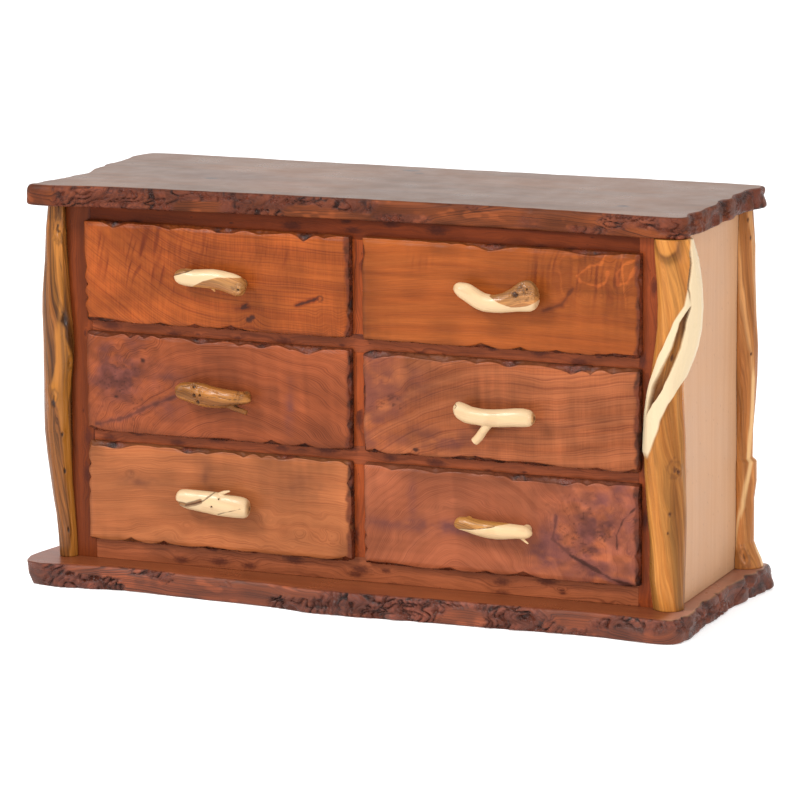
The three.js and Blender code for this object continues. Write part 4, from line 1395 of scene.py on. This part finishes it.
def limb_tube(path):
    """The same for a tapering limb on a path of points, each along, up, out and a radius."""
    path = resample(np.array(path, dtype=float), LIMB_STATIONS)
    centres, radii = path[:, :3], path[:, 3]
    heading = np.gradient(centres, axis=0)
    heading = heading / np.linalg.norm(heading, axis=1)[:, None]
    side = np.cross(heading, np.array([0.31, 0.27, 0.91]))
    side = side / np.linalg.norm(side, axis=1)[:, None]
    other = np.cross(heading, side)
    turn = tube_turn(LIMB_COLUMNS)[..., None]
    circle = side[:, None] * np.cos(turn) + other[:, None] * np.sin(turn)
    rings = centres[:, None] + radii[:, None, None] * circle
    return rings.reshape(-1, 3), LIMB_STATIONS, LIMB_COLUMNS


def fused(tubes, cell):
    """One closed skin round several overlapping tubes: its points, faces and normals."""
    faces, start = [], 0
    for points, rows, columns in tubes:
        faces += [[start + index for index in face] for face in tube_faces(rows, columns)]
        start += len(points)
    mesh = bpy.data.meshes.new("tubes")
    mesh.from_pydata(np.vstack([points for points, _, _ in tubes]).tolist(), [], faces)
    holder = bpy.data.objects.new("tubes", mesh)
    scene.collection.objects.link(holder)
    skin = holder.modifiers.new("skin", "REMESH")
    skin.mode = "VOXEL"
    skin.voxel_size = cell
    soften = holder.modifiers.new("soften", "SMOOTH")
    soften.iterations = 5
    made = holder.evaluated_get(bpy.context.evaluated_depsgraph_get()).to_mesh()
    skin_points = np.array([vertex.co for vertex in made.vertices])
    normals = np.array([vertex.normal for vertex in made.vertices])
    skin_faces = [list(polygon.vertices) for polygon in made.polygons]
    bpy.data.objects.remove(holder)
    bpy.data.meshes.remove(mesh)
    return skin_points, skin_faces, normals


def pull_middle(pull, along):
    """Height of a branch's middle at a place along it, in metres."""
    table = np.array(pull["outline"], dtype=float) / 1000
    return (interpolate(along, table, 1) + interpolate(along, table, 2)) / 2


def pull_sap(pull, a, b, ragged):
    """Where a branch still has its pale sapwood, between two wavy lines."""
    sap = np.full(len(a), pull.get("sap", 1.0))
    if "sap_above" in pull:
        sap = sap * smoothstep(-0.8, 0.8, b - interpolate(a, pull["sap_above"]) + 0.4 * ragged)
    if "sap_below" in pull:
        sap = sap * smoothstep(-0.8, 0.8, interpolate(a, pull["sap_below"]) - b + 0.4 * ragged)
    return sap


def darken(fields, field, values):
    fields[field] = np.maximum(fields[field], values)


def pull_cracks(fields, pull, a, b, ragged, facing):
    """Cracks as dark lines, or as torn grooves where they are wide. Gives how far they push the surface."""
    push = 0
    for width, path in pull.get("cracks", ()):
        off = distance_to_path(a, b, path) + 0.5 * ragged
        line = fade(width * 0.3, width, off) * facing
        if width < TORN_CRACK:
            darken(fields, "knot", 0.75 * line)
        else:
            fields["sap"] = fields["sap"] * (1 - line)
            darken(fields, "knot", 0.7 * bump(off, width * 0.75, width * 0.16) * facing)
        darken(fields, "stain", 0.10 * width * fade(width, width * 2.5, off))
        push = push - 0.0018 * line
    return push


def pull_holes(fields, pull, a, b, ragged, facing):
    """Dark holes with a raised rim that the rings bend round."""
    push = 0
    for at_a, at_b, size in pull.get("holes", ()):
        far = np.hypot(a - at_a, b - at_b) / size
        inside = fade(0.5, 1.1, far + 0.2 * ragged) * facing
        darken(fields, "knot", inside)
        fields["ring"] = fields["ring"] + 0.003 * np.exp(-far / 1.5)
        push = push - 0.0035 * inside + 0.001 * bump(far, 1.4, 0.4)
    return push


def pull_gnarls(fields, pull, a, b, out, ragged, seed):
    """Lumpy burrs without sapwood, dark in their hollows."""
    push = 0
    for at_a, at_b, size in pull.get("gnarls", ()):
        near = fade(0.4, 1.1, np.hypot(a - at_a, b - at_b) / size + 0.25 * ragged)
        bumps = fractal(a / 7, b / 7, out * 140, 3, seed + 3)
        darken(fields, "stain", near * smoothstep(0.15, -0.35, bumps))
        darken(fields, "knot", 0.9 * near * smoothstep(-0.45, -0.8, bumps))
        fields["sap"] = fields["sap"] * (1 - near)
        push = push + 0.0042 * near * bumps
    return push


def pull_cut_end(fields, pull, a, up, out):
    """A sawn right end with a dark heart. up and out are millimetres from the branch's middle."""
    end = pull["outline"][-1][0]
    face = smoothstep(end - 9, end - 6, a + 0.006 * up ** 2)
    fields["sap"] = fields["sap"] * (1 - 0.75 * face)
    darken(fields, "knot", 0.8 * face * fade(0.15, 0.45, np.hypot(up, out) / 17))


def pull_fields(points, pull, seed):
    """Fields of a pull's surface, and how far its cracks, holes and burrs push it out or in."""
    along, up, out = points.T
    a, b = along * 1000, up * 1000
    middle = pull_middle(pull, along)
    around = np.arctan2(up - middle, out - PULL_OUT) * PULL_ARC
    facing = out > PULL_OUT
    ragged = 0.8 * noise(a / 6, b / 6, 0, seed + 1)
    plain = np.zeros(len(along))
    fields = {
        "ring": around + 0.12 * along + 0.0015 * noise(along * 25, around * 90, 0, seed),
        "along": along,
        "sap": pull_sap(pull, a, b, ragged),
        "knot": plain,
        "stain": plain,
        "bark": plain,
    }
    push = 0.0005 * fractal(along * 45, around * 160, 0, 2, seed + 2) * (1.4 - fields["sap"])
    push = push + pull_cracks(fields, pull, a, b, ragged, facing)
    push = push + pull_holes(fields, pull, a, b, ragged, facing)
    push = push + pull_gnarls(fields, pull, a, b, out, ragged, seed)
    if "cut" in pull:
        pull_cut_end(fields, pull, a, b - middle * 1000, (out - PULL_OUT) * 1000)
    tip = smoothstep(0.084, 0.094, np.abs(along))
    worn = smoothstep(0.1, 0.6, noise(along * 30, around * 110, 0, seed + 6))
    fields["sap"] = fields["sap"] * (1 - 0.35 * tip - 0.12 * worn)
    bare_glow = 0.4 * (1 - fields["sap"]) * noise(along * 12, around * 300, 0, seed + 5)
    fields["glow"] = 0.5 * noise(along * 18, around * 60, 0, seed + 4) + bare_glow
    return fields, push


def pull_tubes(pull):
    """The branch, its two feet and its limbs as tubes that run into each other."""
    tubes = [branch_tube(pull["outline"])]
    for foot in PULL_FEET:
        height = pull_middle(pull, foot)
        tubes.append(limb_tube([
            (foot, height, 0.0004, PULL_FOOT_RADIUS * 1.1),
            (foot, height, PULL_FOOT_TOP, PULL_FOOT_RADIUS),
            (foot, height, PULL_OUT, PULL_FOOT_RADIUS),
        ]))
    for limb in pull.get("limbs", ()):
        tubes.append(limb_tube([(a / 1000, b / 1000, PULL_OUT + c / 1000, r / 1000) for a, b, c, r in limb]))
    return tubes


def add_pull(tag, pull, seed):
    node = "pull_" + tag
    wood = wood_from_fields(node + "_wood", dict(PULL_LOOK, **pull.get("look", {})))
    points, faces, normals = fused(pull_tubes(pull), PULL_CELL)
    fields, push = pull_fields(points, pull, seed)
    points = points + normals * np.where(points[:, 2] > PULL_FOOT_TOP, push, 0)[:, None]
    front_low, front_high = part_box("front_" + tag)
    centre_x = (front_low.x + front_high.x) / 2 + pull["centre"][0] / 1000
    centre_z = (front_low.z + front_high.z) / 2 + pull["centre"][1] / 1000
    placed = np.stack([centre_x + points[:, 0], front_low.y - points[:, 2], centre_z + points[:, 1]], axis=1)
    make_piece(node + "_branch", placed, faces, fields, "drawer_" + tag, [node], [wood])


for number, (pull_tag, pull_spec) in enumerate(PULLS.items()):
    add_pull(pull_tag, pull_spec, 200 + 10 * number)


# ---------------------------------------------------------------- sawn boards
def board_knots(s, along, across, look):
    """Scattered knots with blurred edges, as a mask and as a bend for the rings near them."""
    rate = look["knot_rate"]
    place = s.vector(s.times(s.plus(along, look["seed"]), rate), s.times(across, rate * 2.4))
    cells = s.tree.nodes.new("ShaderNodeTexVoronoi")
    cells.voronoi_dimensions = "2D"
    cells.inputs["Scale"].default_value = 1.0
    s.set(cells.inputs["Vector"], place)
    pick = s.add("ShaderNodeSeparateColor", {0: cells.outputs["Color"]})
    size = s.ramp(pick, 1 - look["knotty"], 1.0, 0.03, 0.36)
    far = s.math("DIVIDE", cells.outputs["Distance"], size)
    wobble = s.grain_noise(along, across, 130, 200, 0, 3, 0.6)
    mask = s.ramp(s.plus(far, s.times(wobble, 1.2)), 1.8, 0.8)
    return mask, s.times(s.ramp(far, 2.4, 0.0), 0.010)


def board_wood(name, look, order):
    """Varnished wood for a plain board.

    order names the board's axes: along the grain, across the face, out of the face. Its rings come from
    where a point is in the board, as a CAD piece has no fields.
    """
    s = Shader(name)
    place = s.add("ShaderNodeTexCoord", {}, output="Object")
    along, across, out = [s.add("ShaderNodeSeparateXYZ", {0: place}, output=axis) for axis in order]
    curl = s.grain_noise(along, across, 9, 22, look["seed"], 2)
    sway = s.grain_noise(along, across, 2, 3, look["seed"] + 2)
    mask, bend = board_knots(s, along, across, look)
    ring = s.plus(across, s.times(out, 0.35))
    for part in (s.times(curl, look["curl"]), s.times(sway, look["sway"]), bend):
        ring = s.plus(ring, part)
    colour, height = grain_colour(s, ring, along, look)
    cloud = s.noise(place, 7, 3, 0.6)
    colour = s.shaded(colour, s.ramp(cloud, 0.25, 0.75, 1 - look["cloudy"], 1 + look["cloudy"]))
    colour = s.mix(s.times(mask, 0.75), colour, look["knot"])
    roughness = varnish_roughness(s, cloud, look)
    return s.varnished(look, colour, roughness, height, BOARD_RELIEF, BOARD_COAT_ROUGHNESS)


FRAME_LOOK = {
    "seed": 60.0, "pale": (0.225, 0.052, 0.017), "deep": (0.165, 0.037, 0.012), "line": (0.080, 0.016, 0.006),
    "ring_gap": 0.006, "ring_strength": 0.6, "fibre": 0.14, "curl": 0.035, "sway": 0.06, "cloudy": 0.18,
    "knotty": 0.95, "knot_rate": 12.0, "knot": (0.050, 0.010, 0.006), "rough": 0.33, "coat": 0.02,
    "specular": 0.09,
}
STILE_LOOK = dict(FRAME_LOOK, seed=70.0, pale=(0.240, 0.047, 0.011), deep=(0.180, 0.034, 0.008), knotty=0.5)
PANEL_LOOK = dict(FRAME_LOOK, seed=80.0, pale=(0.437, 0.243, 0.133), deep=(0.412, 0.222, 0.116),
                  line=(0.30, 0.125, 0.055), curl=0.012, sway=0.05, ring_gap=0.011, ring_strength=0.05,
                  fibre=0.035, cloudy=0.04, knotty=0.02, rough=0.4, specular=0.12)
BOX_LOOK = dict(PANEL_LOOK, seed=90.0, pale=(0.50, 0.33, 0.17), deep=(0.42, 0.25, 0.12),
                line=(0.30, 0.16, 0.075), ring_strength=0.4, knotty=0.08, coat=0.0, rough=0.5)
# How each board's name starts, then its material's name, its look and its axes. The first start that fits
# is the one used.
BOARDS = {
    # rail_top is a darker copy of the frame's look: painted shade where the top slab shades the rail.
    "rail_top": ("rail_top_shaded_wood", dict(FRAME_LOOK, seed=65.0, pale=(0.118, 0.022, 0.0055),
                                       deep=(0.080, 0.014, 0.004), knot=(0.026, 0.006, 0.004),
                                       specular=0.05), "XZY"),
    "rail_bottom": ("rail_bottom_wood", dict(FRAME_LOOK, seed=67.0, pale=(0.282, 0.078, 0.029),
                                             deep=(0.216, 0.058, 0.022)), "XZY"),
    "rail_": ("rail_wood", FRAME_LOOK, "XZY"),
    "stile_left": ("stile_left_wood", dict(STILE_LOOK, seed=72.0, pale=(0.150, 0.029, 0.006),
                                           deep=(0.105, 0.020, 0.004)), "ZXY"),
    "stile_": ("stile_wood", STILE_LOOK, "ZXY"),
    "mullion_": ("mullion_wood", dict(STILE_LOOK, seed=75.0, pale=(0.300, 0.058, 0.012),
                                      deep=(0.240, 0.044, 0.009)), "ZXY"),
    "side_panel_": ("side_panel_wood", PANEL_LOOK, "ZYX"),
    "back_panel": ("back_panel_wood", dict(PANEL_LOOK, seed=83.0), "ZXY"),
    "side_left_": ("drawer_side_wood", BOX_LOOK, "YZX"),
    "side_right_": ("drawer_side_wood", BOX_LOOK, "YZX"),
    "back_": ("drawer_back_wood", dict(BOX_LOOK, seed=94.0), "XZY"),
    "bottom_": ("drawer_bottom_wood", dict(BOX_LOOK, seed=97.0), "XYZ"),
    "runner_": ("runner_wood", dict(BOX_LOOK, seed=99.0), "YZX"),
}
BOARD_ROUNDING = 0.0012
WELD_GAP = 0.0001
BOARD_RELIEF = 0.0002
BOARD_COAT_ROUGHNESS = 0.12


def round_edges(piece):
    """Welds a board's corners and rounds its edges a little, as sanding does."""
    weld = piece.modifiers.new("weld", "WELD")
    weld.merge_threshold = WELD_GAP
    rounding = piece.modifiers.new("rounding", "BEVEL")
    rounding.width = BOARD_ROUNDING
    rounding.segments = 2
    rounding.limit_method = "ANGLE"


def finish_boards():
    """Gives each CAD piece that is shown as it is its wood and its rounded edges."""
    made = {}
    for node, piece in nodes.items():
        kinds = [kind for start, kind in BOARDS.items() if node.startswith(start)]
        if not kinds:
            continue
        name, look, order = kinds[0]
        if name not in made:
            made[name] = board_wood(name, look, order)
        piece.data.materials.clear()
        piece.data.materials.append(made[name])
        round_edges(piece)


finish_boards()
